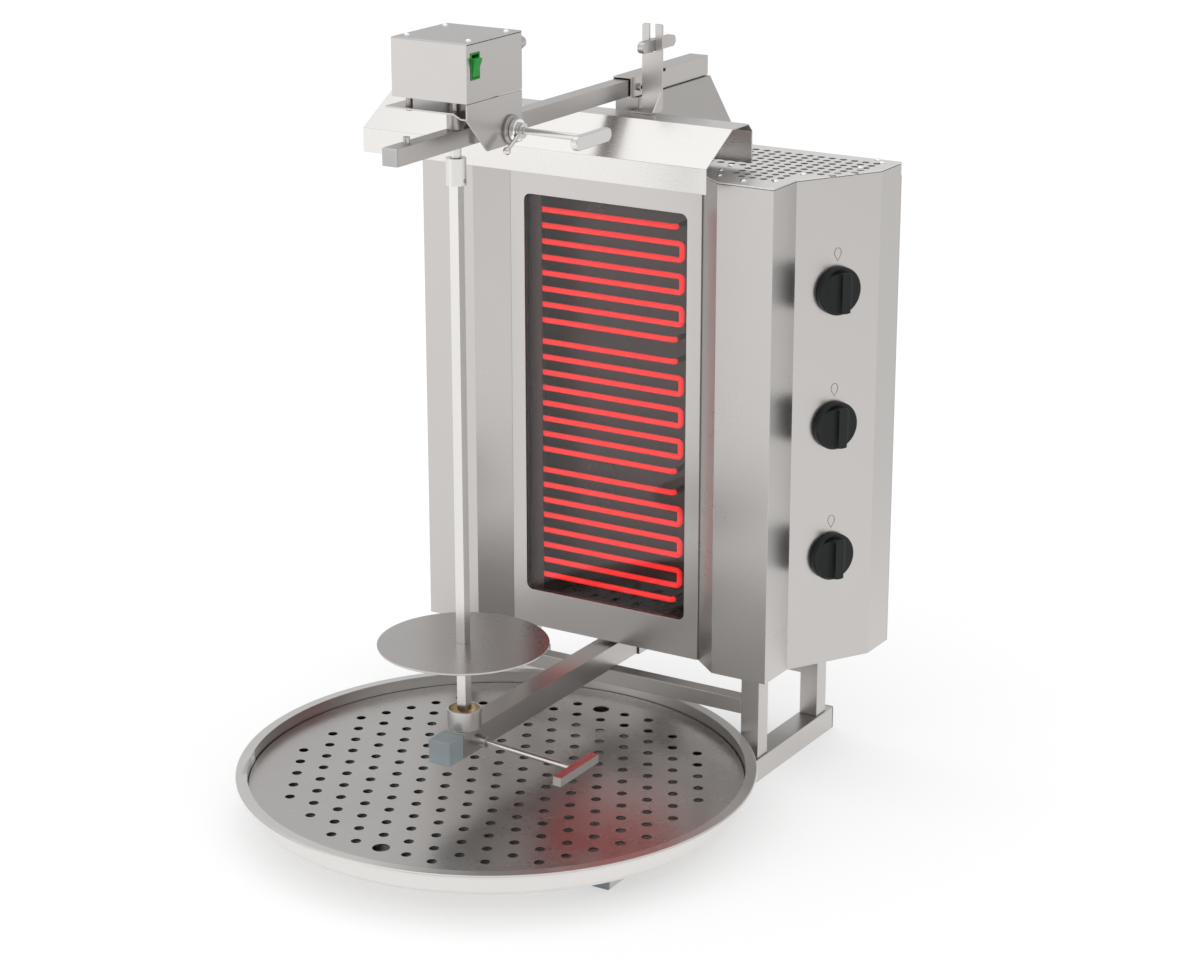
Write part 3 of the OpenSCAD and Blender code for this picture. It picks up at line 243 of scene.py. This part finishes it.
def steel_finish(name, base, rough, grain=(30, 30, 1000), spread=0.02, depth=0.0, patchy=0.13):
    """Brushed sheet: fine stretched grain over broad smudges, in roughness, tone and relief"""
    finish, tree, shader = blank_finish(name)
    shader.inputs["Metallic"].default_value = 1.0
    lines = noise(tree, scaled_place(tree, grain), 1.0, 2.0)
    smudge = noise(tree, scaled_place(tree), 9.0, 4.0, 0.6)
    lines_share, smudge_share = 0.3, 0.7
    share = add_node(tree, "ShaderNodeMath", operation="MULTIPLY")
    share.inputs[1].default_value = lines_share
    tree.links.new(lines, share.inputs[0])
    mix = add_node(tree, "ShaderNodeMath", operation="MULTIPLY_ADD")
    mix.inputs[1].default_value = smudge_share
    tree.links.new(smudge, mix.inputs[0])
    tree.links.new(share.outputs[0], mix.inputs[2])
    roughness = ranged(tree, mix.outputs[0], rough * (1 - patchy), rough * (1 + patchy))
    tree.links.new(roughness, shader.inputs["Roughness"])
    tinted(tree, shader, mix.outputs[0], base, spread)
    if depth:
        bumped(tree, shader, lines, depth, 0.5)
    return finish


def plastic_finish(name, base, rough, grain=900.0, depth=0.00001, spread=0.08):
    """Moulded plastic with a fine eroded texture and little gloss"""
    finish, tree, shader = blank_finish(name)
    shader.inputs["Specular IOR Level"].default_value = 0.25
    speckle = noise(tree, scaled_place(tree), grain, 3.0)
    broad = noise(tree, scaled_place(tree), 30.0, 3.0)
    tree.links.new(ranged(tree, broad, rough * 0.85, rough * 1.15), shader.inputs["Roughness"])
    tinted(tree, shader, broad, base, spread)
    bumped(tree, shader, speckle, depth, 0.6)
    return finish


def chrome_finish(name, base, rough):
    finish, tree, shader = blank_finish(name)
    shader.inputs["Metallic"].default_value = 1.0
    haze = noise(tree, scaled_place(tree), 60.0, 4.0, 0.6)
    tree.links.new(ranged(tree, haze, rough * 0.7, rough * 1.4), shader.inputs["Roughness"])
    tinted(tree, shader, haze, base, 0.02)
    return finish


def glowing_finish(name, base, strength):
    """Red-hot tube, a little duller at its edges and along its length"""
    finish, tree, shader = blank_finish(name)
    shader.inputs["Roughness"].default_value = 0.6
    drift = noise(tree, scaled_place(tree), 18.0, 2.0)
    unlit_colour = (0.25, 0.02, 0.015)
    tinted(tree, shader, drift, unlit_colour, 0.2)
    shader.inputs["Emission Color"].default_value = [*base, 1]
    edge_share = 0.55
    facing = add_node(tree, "ShaderNodeLayerWeight")
    facing.inputs["Blend"].default_value = 0.35
    fade = add_node(tree, "ShaderNodeMapRange")
    fade.inputs["To Min"].default_value = strength
    fade.inputs["To Max"].default_value = strength * edge_share
    tree.links.new(facing.outputs["Facing"], fade.inputs["Value"])
    tree.links.new(fade.outputs["Result"], shader.inputs["Emission Strength"])
    return finish


def dark_finish(name, base, rough):
    """Patchy, dull and nearly black sheet"""
    finish, tree, shader = blank_finish(name)
    stain = noise(tree, scaled_place(tree), 14.0, 5.0, 0.6)
    shader.inputs["Metallic"].default_value = 0.3
    tree.links.new(ranged(tree, stain, rough * 0.8, rough * 1.2), shader.inputs["Roughness"])
    tinted(tree, shader, stain, base, 0.35)
    return finish


def glass_finish(name, rough):
    """Clear sheet: what is behind it, under a faint mirror that grows towards the edge of view"""
    finish, tree, shader = blank_finish(name)
    tree.nodes.remove(shader)
    clear = add_node(tree, "ShaderNodeBsdfTransparent")
    mirror = add_node(tree, "ShaderNodeBsdfGlossy")
    smear = noise(tree, scaled_place(tree), 12.0, 4.0, 0.6)
    tree.links.new(ranged(tree, smear, rough * 0.5, rough * 2), mirror.inputs["Roughness"])
    side = add_node(tree, "ShaderNodeNewGeometry")
    inside = add_node(tree, "ShaderNodeMath", operation="MULTIPLY_ADD")
    inside.inputs[1].default_value = 1 / GLASS_INDEX - GLASS_INDEX
    inside.inputs[2].default_value = GLASS_INDEX
    share = add_node(tree, "ShaderNodeFresnel")
    mix = add_node(tree, "ShaderNodeMixShader")
    tree.links.new(side.outputs["Backfacing"], inside.inputs[0])
    tree.links.new(inside.outputs[0], share.inputs["IOR"])
    tree.links.new(share.outputs[0], mix.inputs[0])
    tree.links.new(clear.outputs[0], mix.inputs[1])
    tree.links.new(mirror.outputs[0], mix.inputs[2])
    tree.links.new(mix.outputs[0], tree.nodes["Material Output"].inputs["Surface"])
    return finish


FINISHES = {}


def finish(name):
    """Each finish is made once, from the settings"""
    if name in FINISHES:
        return FINISHES[name]
    s = bpy.context.scene.grill_finishes
    makers = {
        "steel": lambda: steel_finish("satin_steel", s.steel, rough=0.30, depth=0.000002),
        "tube_steel": lambda: steel_finish("tube_steel", s.steel, rough=0.33, grain=(900, 40, 900)),
        "bright_steel": lambda: steel_finish(
            "bright_steel", s.bright_steel, rough=0.26, grain=(2500, 2500, 150), spread=0.01,
            patchy=0.06,
        ),
        "hood_steel": lambda: steel_finish(
            "hood_steel", s.bright_steel, rough=0.27, grain=(12, 500, 500), spread=0.012
        ),
        "tray_steel": lambda: steel_finish(
            "tray_steel", s.bright_steel, rough=0.32, grain=(60, 60, 60)
        ),
        "insert_steel": lambda: steel_finish(
            "insert_steel", s.steel, rough=0.27, grain=(25, 25, 25), spread=0.03
        ),
        # Painted light: the deck takes a paler, rougher copy of the steel, lifting it where the
        # hood darkens its reflection
        "lit_deck_steel": lambda: steel_finish(
            "lit_deck_steel", (0.7, 0.69, 0.68), rough=0.5, grain=(60, 60, 60)
        ),
        # Painted shade: a darker, slightly rougher copy of the steel for parts that stand in shade
        "dark_steel": lambda: steel_finish(
            "shaded_steel", s.dark_steel, rough=0.34, grain=(40, 400, 400)
        ),
        "cold_end": lambda: steel_finish(
            "cold_bar_end", (0.16, 0.13, 0.11), rough=0.5, grain=(60, 60, 60)
        ),
        "chrome": lambda: chrome_finish("chrome", s.chrome, rough=0.14),
        "brass": lambda: chrome_finish("brass", (0.62, 0.47, 0.22), rough=0.28),
        "recess": lambda: dark_finish("recess_black", s.recess, rough=0.33),
        # Painted light: the holder's nearly black sheet is tinted red for the glow of the hot bars
        # falling on it
        "holder": lambda: dark_finish("holder_red_lit", (0.05, 0.018, 0.016), rough=0.5),
        "glow": lambda: glowing_finish("hot_bar", s.glow, s.glow_strength),
        "glass": lambda: glass_finish("window_glass", rough=0.02),
        "knob": lambda: plastic_finish("knob_black", s.knob, rough=0.38),
        "end_cap": lambda: plastic_finish("end_cap_grey", s.end_cap, rough=0.5),
        "plug": lambda: plastic_finish("plug_white", (0.62, 0.61, 0.6), rough=0.5),
        "switch": lambda: plastic_finish(
            "switch_green", s.switch, rough=0.3, grain=500.0, depth=0.000004
        ),
        "switch_dark": lambda: plastic_finish(
            "switch_dark", (0.015, 0.25, 0.03), rough=0.35, grain=500.0, depth=0.000004
        ),
        "ceramic": lambda: plastic_finish(
            "ceramic", (0.78, 0.75, 0.68), rough=0.7, grain=400.0, depth=0.00003
        ),
        "print": lambda: plastic_finish("grey_print", (0.16, 0.155, 0.15), rough=0.6),
    }
    FINISHES[name] = makers[name]()
    return FINISHES[name]


# ---------------------------------------------------------------- mesh helpers


def linked(name, mesh):
    piece = bpy.data.objects.new(name, mesh)
    bpy.context.scene.collection.objects.link(piece)
    return piece


def baked(piece):
    """Turns a piece with live modifiers into a plain mesh"""
    graph = bpy.context.evaluated_depsgraph_get()
    mesh = bpy.data.meshes.new_from_object(piece.evaluated_get(graph), depsgraph=graph)
    piece.modifiers.clear()
    piece.data = mesh


def paint(piece, name):
    piece.data.materials.clear()
    piece.data.materials.append(finish(name))


def keep(nodes, name):
    """Gives CAD nodes their finish without touching their meshes"""
    for node in nodes:
        paint(frame["nodes"][node], name)


def soften(nodes, name, edge=None, angle=40, segments=2):
    """Replaces CAD nodes by copies with softened edges and smooth round faces"""
    width = bpy.context.scene.grill_finishes.edge if edge is None else edge
    for node in nodes:
        mesh = frame["nodes"][node].data.copy()
        mesh.name = node + "_piece"
        work = bmesh.new()
        work.from_mesh(mesh)
        bmesh.ops.remove_doubles(work, verts=work.verts, dist=1e-6)
        bmesh.ops.dissolve_limit(
            work, angle_limit=math.radians(0.8), verts=work.verts, edges=work.edges
        )
        work.normal_update()
        work.to_mesh(mesh)
        work.free()
        piece = linked(node + "_piece", mesh)
        if width > 0:
            bevel = piece.modifiers.new("edges", "BEVEL")
            bevel.limit_method = "ANGLE"
            bevel.angle_limit = math.radians(angle)
            bevel.width = width
            bevel.segments = segments
            bevel.miter_outer = "MITER_ARC"
        baked(piece)
        piece.data.shade_smooth()
        piece.data.set_sharp_from_angle(angle=math.radians(angle))
        weigh = piece.modifiers.new("weights", "WEIGHTED_NORMAL")
        weigh.keep_sharp = True
        baked(piece)
        paint(piece, name)
        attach(piece, frame["nodes"][node]["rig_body"])
        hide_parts(node)


# ---------------------------------------------------------------- repeated pieces


def socket_id(tree, name):
    for item in tree.interface.items_tree:
        if item.item_type == "SOCKET" and item.in_out == "INPUT" and item.name == name:
            return item.identifier
    raise KeyError(name)


def dome_tree():
    """Node tree that puts one dome head on each point, along the point's aim"""
    if "dome_heads" in bpy.data.node_groups:
        return bpy.data.node_groups["dome_heads"]
    tree = bpy.data.node_groups.new("dome_heads", "GeometryNodeTree")
    face = tree.interface
    for name, kind in (
        ("Points", "Geometry"), ("Head Diameter", "Float"), ("Head Height", "Float"),
        ("Finish", "Material"),
    ):
        face.new_socket(name, in_out="INPUT", socket_type="NodeSocket" + kind)
    face.new_socket("Heads", in_out="OUTPUT", socket_type="NodeSocketGeometry")
    given = add_node(tree, "NodeGroupInput")
    result = add_node(tree, "NodeGroupOutput")
    ball = add_node(tree, "GeometryNodeMeshUVSphere")
    ball.inputs["Segments"].default_value = 20
    ball.inputs["Rings"].default_value = 10
    ball.inputs["Radius"].default_value = 0.5
    size = add_node(tree, "ShaderNodeCombineXYZ")
    double = add_node(tree, "ShaderNodeMath", operation="MULTIPLY")
    double.inputs[1].default_value = 2.0
    aim = add_node(tree, "GeometryNodeInputNamedAttribute", data_type="FLOAT_VECTOR")
    aim.inputs["Name"].default_value = "aim"
    turn = add_node(tree, "FunctionNodeAlignRotationToVector", axis="Z")
    spread = add_node(tree, "GeometryNodeInstanceOnPoints")
    real = add_node(tree, "GeometryNodeRealizeInstances")
    smooth = add_node(tree, "GeometryNodeSetShadeSmooth")
    coat = add_node(tree, "GeometryNodeSetMaterial")
    link = tree.links.new
    link(given.outputs["Head Diameter"], size.inputs["X"])
    link(given.outputs["Head Diameter"], size.inputs["Y"])
    link(given.outputs["Head Height"], double.inputs[0])
    link(double.outputs[0], size.inputs["Z"])
    link(given.outputs["Points"], spread.inputs["Points"])
    link(ball.outputs["Mesh"], spread.inputs["Instance"])
    link(aim.outputs["Attribute"], turn.inputs["Vector"])
    link(turn.outputs["Rotation"], spread.inputs["Rotation"])
    link(size.outputs["Vector"], spread.inputs["Scale"])
    link(spread.outputs["Instances"], real.inputs["Geometry"])
    link(real.outputs["Geometry"], smooth.inputs["Geometry"])
    link(smooth.outputs["Geometry"], coat.inputs["Geometry"])
    link(given.outputs["Finish"], coat.inputs["Material"])
    link(coat.outputs["Geometry"], result.inputs["Heads"])
    return tree


def dome_heads(name, body, spots, diameter, height):
    """Dome heads at (place, aim) spots, as one piece of a body"""
    mesh = bpy.data.meshes.new(name)
    mesh.from_pydata([place for place, aim in spots], [], [])
    attribute = mesh.attributes.new("aim", "FLOAT_VECTOR", "POINT")
    for item, (place, aim) in zip(attribute.data, spots):
        item.vector = aim
    piece = linked(name, mesh)
    tree = dome_tree()
    modifier = piece.modifiers.new("heads", "NODES")
    modifier.node_group = tree
    modifier[socket_id(tree, "Head Diameter")] = diameter
    modifier[socket_id(tree, "Head Height")] = height
    modifier[socket_id(tree, "Finish")] = finish("chrome")
    baked(piece)
    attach(piece, body)


# ---------------------------------------------------------------- operators


class GRILL_OT_base(bpy.types.Operator):
    """Finish the rails, legs and cross rails"""

    bl_idname = "grill.base"
    bl_label = "Base"

    def execute(self, context):
        soften(["base_rails", "legs", "cross_rails", "lower_guide"], "tube_steel", edge=0.0012)
        soften(["rail_caps"], "end_cap", edge=0.0015)
        keep(["floor_plate"], "steel")
        return {"FINISHED"}


class GRILL_OT_cabinet(bpy.types.Operator):
    """Finish the cabinet's sheets"""

    bl_idname = "grill.cabinet"
    bl_label = "Cabinet"

    def execute(self, context):
        soften(["left_casing", "right_casing"], "steel", edge=0.0006, angle=12)
        soften(["front_panel"], "steel", edge=0.0004)
        keep(["rear_panel"], "steel")
        keep(["top_deck"], "lit_deck_steel")
        soften(["mains_gland"], "knob")
        return {"FINISHED"}


class GRILL_OT_heater(bpy.types.Operator):
    """Finish the hot bars and the pan behind them"""

    bl_idname = "grill.heater"
    bl_label = "Heater"

    def execute(self, context):
        bars = ["element_top", "element_middle", "element_bottom"]
        soften(bars, "glow", edge=0)
        for node in bars:
            self.cool_ends(node)
        self.pane()
        keep(["reflector"], "recess")
        keep(["bar_holder"], "holder")
        keep(["terminal_blocks"], "ceramic")
        return {"FINISHED"}

    def cool_ends(self, node):
        """The ends that turn back towards the terminals don't glow"""
        piece = bpy.data.objects[node + "_piece"]
        piece.data.materials.append(finish("cold_end"))
        behind_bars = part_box(node)[0].y + 0.0073
        for face in piece.data.polygons:
            if face.center.y > behind_bars:
                face.material_index = 1

    def pane(self):
        """Pane of glass inside the window's folded edge"""
        low, high = at(-116.5, 1.6, 49.5), at(116.5, 5.6, 572)
        corner = 0.009
        work = bmesh.new()
        bmesh.ops.create_cube(work, size=1)
        for vert in work.verts:
            vert.co = Vector([a + (b - a) * (c + 0.5) for a, b, c in zip(low, high, vert.co)])
        through = [e for e in work.edges if abs(e.verts[0].co.y - e.verts[1].co.y) > 0.001]
        bmesh.ops.bevel(
            work, geom=through, offset=corner, segments=5, affect="EDGES", profile=0.5
        )
        mesh = bpy.data.meshes.new("window_pane")
        work.to_mesh(mesh)
        work.free()
        piece = linked("window_pane", mesh)
        paint(piece, "glass")
        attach(piece, "cabinet")


class GRILL_OT_controls(bpy.types.Operator):
    """Finish the knobs and print a drop above each"""

    bl_idname = "grill.controls"
    bl_label = "Controls"

    def execute(self, context):
        soften(
            ["knob_top", "knob_middle", "knob_bottom"], "knob", edge=0.0009, angle=35, segments=3
        )
        keep(["regulators"], "knob")
        # The slanted face: its direction outward, along itself and up, and its middle line
        out = Vector((0.8635, -0.5044, 0))
        along = Vector((0.5044, 0.8635, 0))
        up = Vector((0, 0, 1))
        middle = Vector((280.05, 81.6, 0)) / 1000
        print_lift = 0.00012
        inner_width, inner_height = 0.86, 0.91
        verts, faces = [], []
        for height in MARK_HEIGHTS:
            centre = at(0, 0, height) + middle + out * print_lift
            base = len(verts)
            for x, z in self.drop():
                verts.append(centre + along * x + up * z)
                verts.append(centre + along * x * inner_width + up * z * inner_height)
            for k in range(MARK_POINTS):
                a, b = base + 2 * k, base + 2 * ((k + 1) % MARK_POINTS)
                faces.append((a, b, b + 1, a + 1))
        mesh = bpy.data.meshes.new("knob_marks")
        mesh.from_pydata(verts, [], faces)
        piece = linked("knob_marks", mesh)
        paint(piece, "print")
        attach(piece, "cabinet")
        return {"FINISHED"}

    def drop(self):
        """Outline of a drop with its tip below, as places across and up in metres"""
        half_width, above, below = 0.0052, 0.0066, 0.0105
        slimness, tip_share = 2.05, 0.06
        ring = []
        for k in range(MARK_POINTS):
            a = 2 * math.pi * k / MARK_POINTS
            rise = math.sin(a)
            taper = 1 if rise > 0 else math.cos(rise * math.pi / slimness)
            x = half_width * math.cos(a) * max(tip_share, taper)
            ring.append((x, above * rise if rise > 0 else below * rise))
        return ring


class GRILL_OT_hood(bpy.types.Operator):
    """Finish the hood, the pedestal, the sleeve and the hanger with its latch"""

    bl_idname = "grill.hood"
    bl_label = "Hood"

    def execute(self, context):
        soften(["hood"], "hood_steel", edge=0.0006, angle=25)
        soften(["arm_pedestal"], "dark_steel", edge=0.0008)
        soften(["arm_sleeve"], "tube_steel")
        soften(["hanger_plate"], "steel")
        soften(["latch_bar"], "steel", edge=0.0008)
        soften(["latch_pin"], "chrome", edge=0.0003)
        return {"FINISHED"}


class GRILL_OT_arms(bpy.types.Operator):
    """Finish the upper and the lower arm"""

    bl_idname = "grill.arms"
    bl_label = "Arms"

    def execute(self, context):
        soften(["upper_arm"], "tube_steel", edge=0.0008)
        soften(["upper_arm_plug"], "plug", edge=0.0008)
        soften(["lower_arm"], "tube_steel", edge=0.001)
        soften(["lower_arm_cap"], "end_cap", edge=0.0012)
        soften(["bearing_cup"], "bright_steel")
        keep(["bearing_bush"], "brass")
        soften(["lower_clamp_handle"], "bright_steel", edge=0.0012)
        return {"FINISHED"}


class GRILL_OT_drive(bpy.types.Operator):
    """Finish the carriage and the motor box"""

    bl_idname = "grill.drive"
    bl_label = "Drive"

    def execute(self, context):
        soften(["motor_box"], "steel", edge=0.0002)
        soften(["motor_lid"], "steel", edge=0.0002, angle=30)
        soften(["lid_screws"], "chrome", edge=0)
        soften(["carriage_plate", "carriage_shelf"], "steel", angle=30)
        soften(["carriage_saddle"], "dark_steel", edge=0.0006)
        soften(["shaft_bushing", "standoffs"], "dark_steel", edge=0.0004)
        soften(["clamp_flange"], "dark_steel")
        soften(["clamp_collar"], "chrome", edge=0.001)
        soften(["clamp_lever", "clamp_handle"], "bright_steel", edge=0.001)
        soften(["rocker_frame"], "switch_dark", edge=0.0004)
        soften(["rocker"], "switch", edge=0.0008, angle=30)
        soften(["cable_gland"], "steel", edge=0.0006)
        keep(["gearmotor"], "dark_steel")
        return {"FINISHED"}


class GRILL_OT_skewer(bpy.types.Operator):
    """Finish the shaft, the socket, the skewer and the disc"""

    bl_idname = "grill.skewer"
    bl_label = "Skewer"

    def execute(self, context):
        soften(["skewer"], "bright_steel", edge=0.0008)
        soften(["coupling_socket"], "bright_steel", edge=0.0008)
        soften(["output_shaft"], "bright_steel", edge=0.0004)
        soften(["meat_disc"], "insert_steel", edge=0.0006)
        keep(["cross_pin"], "dark_steel")
        return {"FINISHED"}


class GRILL_OT_drip_tray(bpy.types.Operator):
    """Finish the drip tray and its insert"""

    bl_idname = "grill.drip_tray"
    bl_label = "Drip tray"

    def execute(self, context):
        soften(["drip_tray"], "tray_steel", edge=0)
        keep(["perforated_insert", "insert_rim"], "insert_steel")
        return {"FINISHED"}


class GRILL_OT_screws(bpy.types.Operator):
    """Set the dome heads on the deck and the rear panel"""

    bl_idname = "grill.screws"
    bl_label = "Screws"

    def execute(self, context):
        s = context.scene.grill_fasteners
        left_from = 62  # the left side has none further forward, where the hood stands
        spots = [
            (at(side * x, y, DECK_TOP), (0, 0, 1))
            for side in (1, -1) for x, y in DECK_SCREWS if side > 0 or y > left_from
        ]
        dome_heads("deck_screws", "cabinet", spots, s.deck_head, s.head_height)
        low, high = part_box("rear_panel")
        inset, middle, apart = 0.012, (low.x + high.x) / 2, 0.12
        back = []
        for x in (low.x + inset, middle - apart, middle + apart, high.x - inset):
            for z in (low.z + inset, high.z - inset):
                back.append(((x, high.y, z), (0, 1, 0)))
        for x in (low.x + inset, high.x - inset):
            for part in (1, 2, 3):
                back.append(((x, high.y, low.z + (high.z - low.z) * part / 4), (0, 1, 0)))
        rear_height = s.head_height * 0.8
        dome_heads("rear_screws", "cabinet", back, s.panel_head, rear_height)
        return {"FINISHED"}


class GRILL_OT_studio(bpy.types.Operator):
    """Set the camera, the floor and the light"""

    bl_idname = "grill.studio"
    bl_label = "Studio"

    def execute(self, context):
        scene = context.scene
        s = scene.grill_studio
        lens = bpy.data.cameras.new("studio_camera")
        lens.lens = s.lens
        lens.sensor_width = 36
        lens.clip_end = 100
        camera = bpy.data.objects.new("studio_camera", lens)
        camera.location = s.camera_place
        camera.rotation_euler = (math.pi / 2 - s.camera_pitch, 0, s.camera_azimuth)
        scene.collection.objects.link(camera)
        scene.camera = camera
        scene.view_settings.view_transform = "Standard"

        half = s.floor_size / 2
        mesh = bpy.data.meshes.new("studio_floor")
        corners = [(-half, -half, 0), (half, -half, 0), (half, half, 0), (-half, half, 0)]
        mesh.from_pydata(corners, [], [(0, 1, 2, 3)])
        floor = linked("studio_floor", mesh)
        floor.data.materials.append(self.floor_finish())
        self.world(scene, s.world_level)
        self.lamp(
            "key_light", place=(-2.4, -3.6, 1.5), target=(0, 0, 0.45), size=3.0, watts=s.key_power
        )
        self.lamp(
            "top_light", place=(-0.9, 0.25, 3.1), target=(0, 0, 0.7), size=2.2, watts=s.top_power
        )
        return {"FINISHED"}

    def seen(self, tree):
        """One where a ray comes from the camera, a reflection or a pane"""
        path = add_node(tree, "ShaderNodeLightPath")
        first = add_node(tree, "ShaderNodeMath", operation="MAXIMUM")
        both = add_node(tree, "ShaderNodeMath", operation="MAXIMUM")
        tree.links.new(path.outputs["Is Camera Ray"], first.inputs[0])
        tree.links.new(path.outputs["Is Glossy Ray"], first.inputs[1])
        tree.links.new(first.outputs[0], both.inputs[0])
        tree.links.new(path.outputs["Is Transmission Ray"], both.inputs[1])
        return both.outputs[0]

    def floor_finish(self):
        """Pale floor with painted light: an even glow to the camera, and in reflections a glow that
        fades from front to back
        """
        pale, tree, shader = blank_finish("pale_floor")
        grain = noise(tree, scaled_place(tree), 3.0)
        grey = (0.56, 0.56, 0.56)
        tinted(tree, shader, grain, grey, 0.004)
        shader.inputs["Roughness"].default_value = 0.9
        shader.inputs["Specular IOR Level"].default_value = 0.0
        glow = add_node(tree, "ShaderNodeEmission")
        place = add_node(tree, "ShaderNodeTexCoord")
        split = add_node(tree, "ShaderNodeSeparateXYZ")
        # Painted light in reflections: the floor glows more in front of the grill than behind it
        reflected_glow_fall = add_node(tree, "ShaderNodeMapRange", interpolation_type="SMOOTHSTEP")
        reflected_glow_fall.inputs["From Min"].default_value = 0.2
        reflected_glow_fall.inputs["From Max"].default_value = 1.6
        reflected_glow_fall.inputs["To Min"].default_value = FLOOR_MIRRORED_FRONT
        reflected_glow_fall.inputs["To Max"].default_value = FLOOR_MIRRORED_BACK
        tree.links.new(place.outputs["Object"], split.inputs[0])
        tree.links.new(split.outputs["Y"], reflected_glow_fall.inputs["Value"])
        path = add_node(tree, "ShaderNodeLightPath")
        level = add_node(tree, "ShaderNodeMix")
        level.inputs["B"].default_value = FLOOR_SEEN
        tree.links.new(path.outputs["Is Camera Ray"], level.inputs["Factor"])
        tree.links.new(reflected_glow_fall.outputs[0], level.inputs["A"])
        lift = add_node(tree, "ShaderNodeMath", operation="MULTIPLY")
        tree.links.new(level.outputs["Result"], lift.inputs[1])
        tree.links.new(self.seen(tree), lift.inputs[0])
        tree.links.new(lift.outputs[0], glow.inputs["Strength"])
        total = add_node(tree, "ShaderNodeAddShader")
        tree.links.new(shader.outputs[0], total.inputs[0])
        tree.links.new(glow.outputs[0], total.inputs[1])
        tree.links.new(total.outputs[0], tree.nodes["Material Output"].inputs["Surface"])
        return pale

    def world(self, scene, level):
        """Bright ceiling and floor with a softer band at eye level"""
        world = bpy.data.worlds.new("studio")
        scene.world = world
        world.use_nodes = True
        tree = world.node_tree
        place = add_node(tree, "ShaderNodeTexCoord")
        split = add_node(tree, "ShaderNodeSeparateXYZ")
        span = add_node(tree, "ShaderNodeMapRange")
        span.inputs["From Min"].default_value = -1
        ramp = add_node(tree, "ShaderNodeValToRGB")
        # Height from straight down (0) to straight up (1), and the brightness there
        stops = [(0.0, 1.0), (0.49, 1.0), (0.53, 0.8), (0.68, 0.7), (0.80, 1.05), (1.0, 1.1)]
        for index, (height, value) in enumerate(stops):
            if index < 2:
                stop = ramp.color_ramp.elements[index]
                stop.position = height
            else:
                stop = ramp.color_ramp.elements.new(height)
            stop.color = (value, value, value, 1)
        tree.links.new(place.outputs["Generated"], split.inputs[0])
        tree.links.new(split.outputs["Z"], span.inputs["Value"])
        tree.links.new(span.outputs["Result"], ramp.inputs["Fac"])
        sky = tree.nodes["Background"]
        sky.inputs["Strength"].default_value = level
        tree.links.new(ramp.outputs["Color"], sky.inputs["Color"])

    def lamp(self, name, place, target, size, watts):
        light = bpy.data.lights.new(name, "AREA")
        light.shape = "DISK"
        light.size = size
        light.energy = watts
        lamp = bpy.data.objects.new(name, light)
        lamp.location = place
        lamp.rotation_euler = (Vector(target) - Vector(place)).to_track_quat("-Z", "Y").to_euler()
        bpy.context.scene.collection.objects.link(lamp)


class GRILL_PT_panel(bpy.types.Panel):
    """Lists the grill's settings and the steps that finish it"""

    bl_idname = "GRILL_PT_panel"
    bl_label = "Skewer Grill"
    bl_space_type = "VIEW_3D"
    bl_region_type = "UI"
    bl_category = "Grill"

    def draw(self, context):
        layout = self.layout
        scene = context.scene
        for group in (scene.grill_finishes, scene.grill_fasteners, scene.grill_studio):
            box = layout.box()
            for key in group.__annotations__:
                box.prop(group, key)
        for step in STEPS:
            layout.operator(step.bl_idname)


STEPS = (
    GRILL_OT_base, GRILL_OT_cabinet, GRILL_OT_heater, GRILL_OT_controls, GRILL_OT_hood,
    GRILL_OT_arms, GRILL_OT_drive, GRILL_OT_skewer, GRILL_OT_drip_tray, GRILL_OT_screws,
    GRILL_OT_studio,
)
CLASSES = (GrillFinishes, GrillFasteners, GrillStudio) + STEPS + (GRILL_PT_panel,)


def register():
    for item in CLASSES:
        bpy.utils.register_class(item)
    bpy.types.Scene.grill_finishes = bpy.props.PointerProperty(type=GrillFinishes)
    bpy.types.Scene.grill_fasteners = bpy.props.PointerProperty(type=GrillFasteners)
    bpy.types.Scene.grill_studio = bpy.props.PointerProperty(type=GrillStudio)


def unregister():
    del bpy.types.Scene.grill_studio
    del bpy.types.Scene.grill_fasteners
    del bpy.types.Scene.grill_finishes
    for item in reversed(CLASSES):
        bpy.utils.unregister_class(item)


def main():
    register()
    for step in STEPS:
        group, name = step.bl_idname.split(".")
        getattr(getattr(bpy.ops, group), name)()


if __name__ == "__main__":
    main()
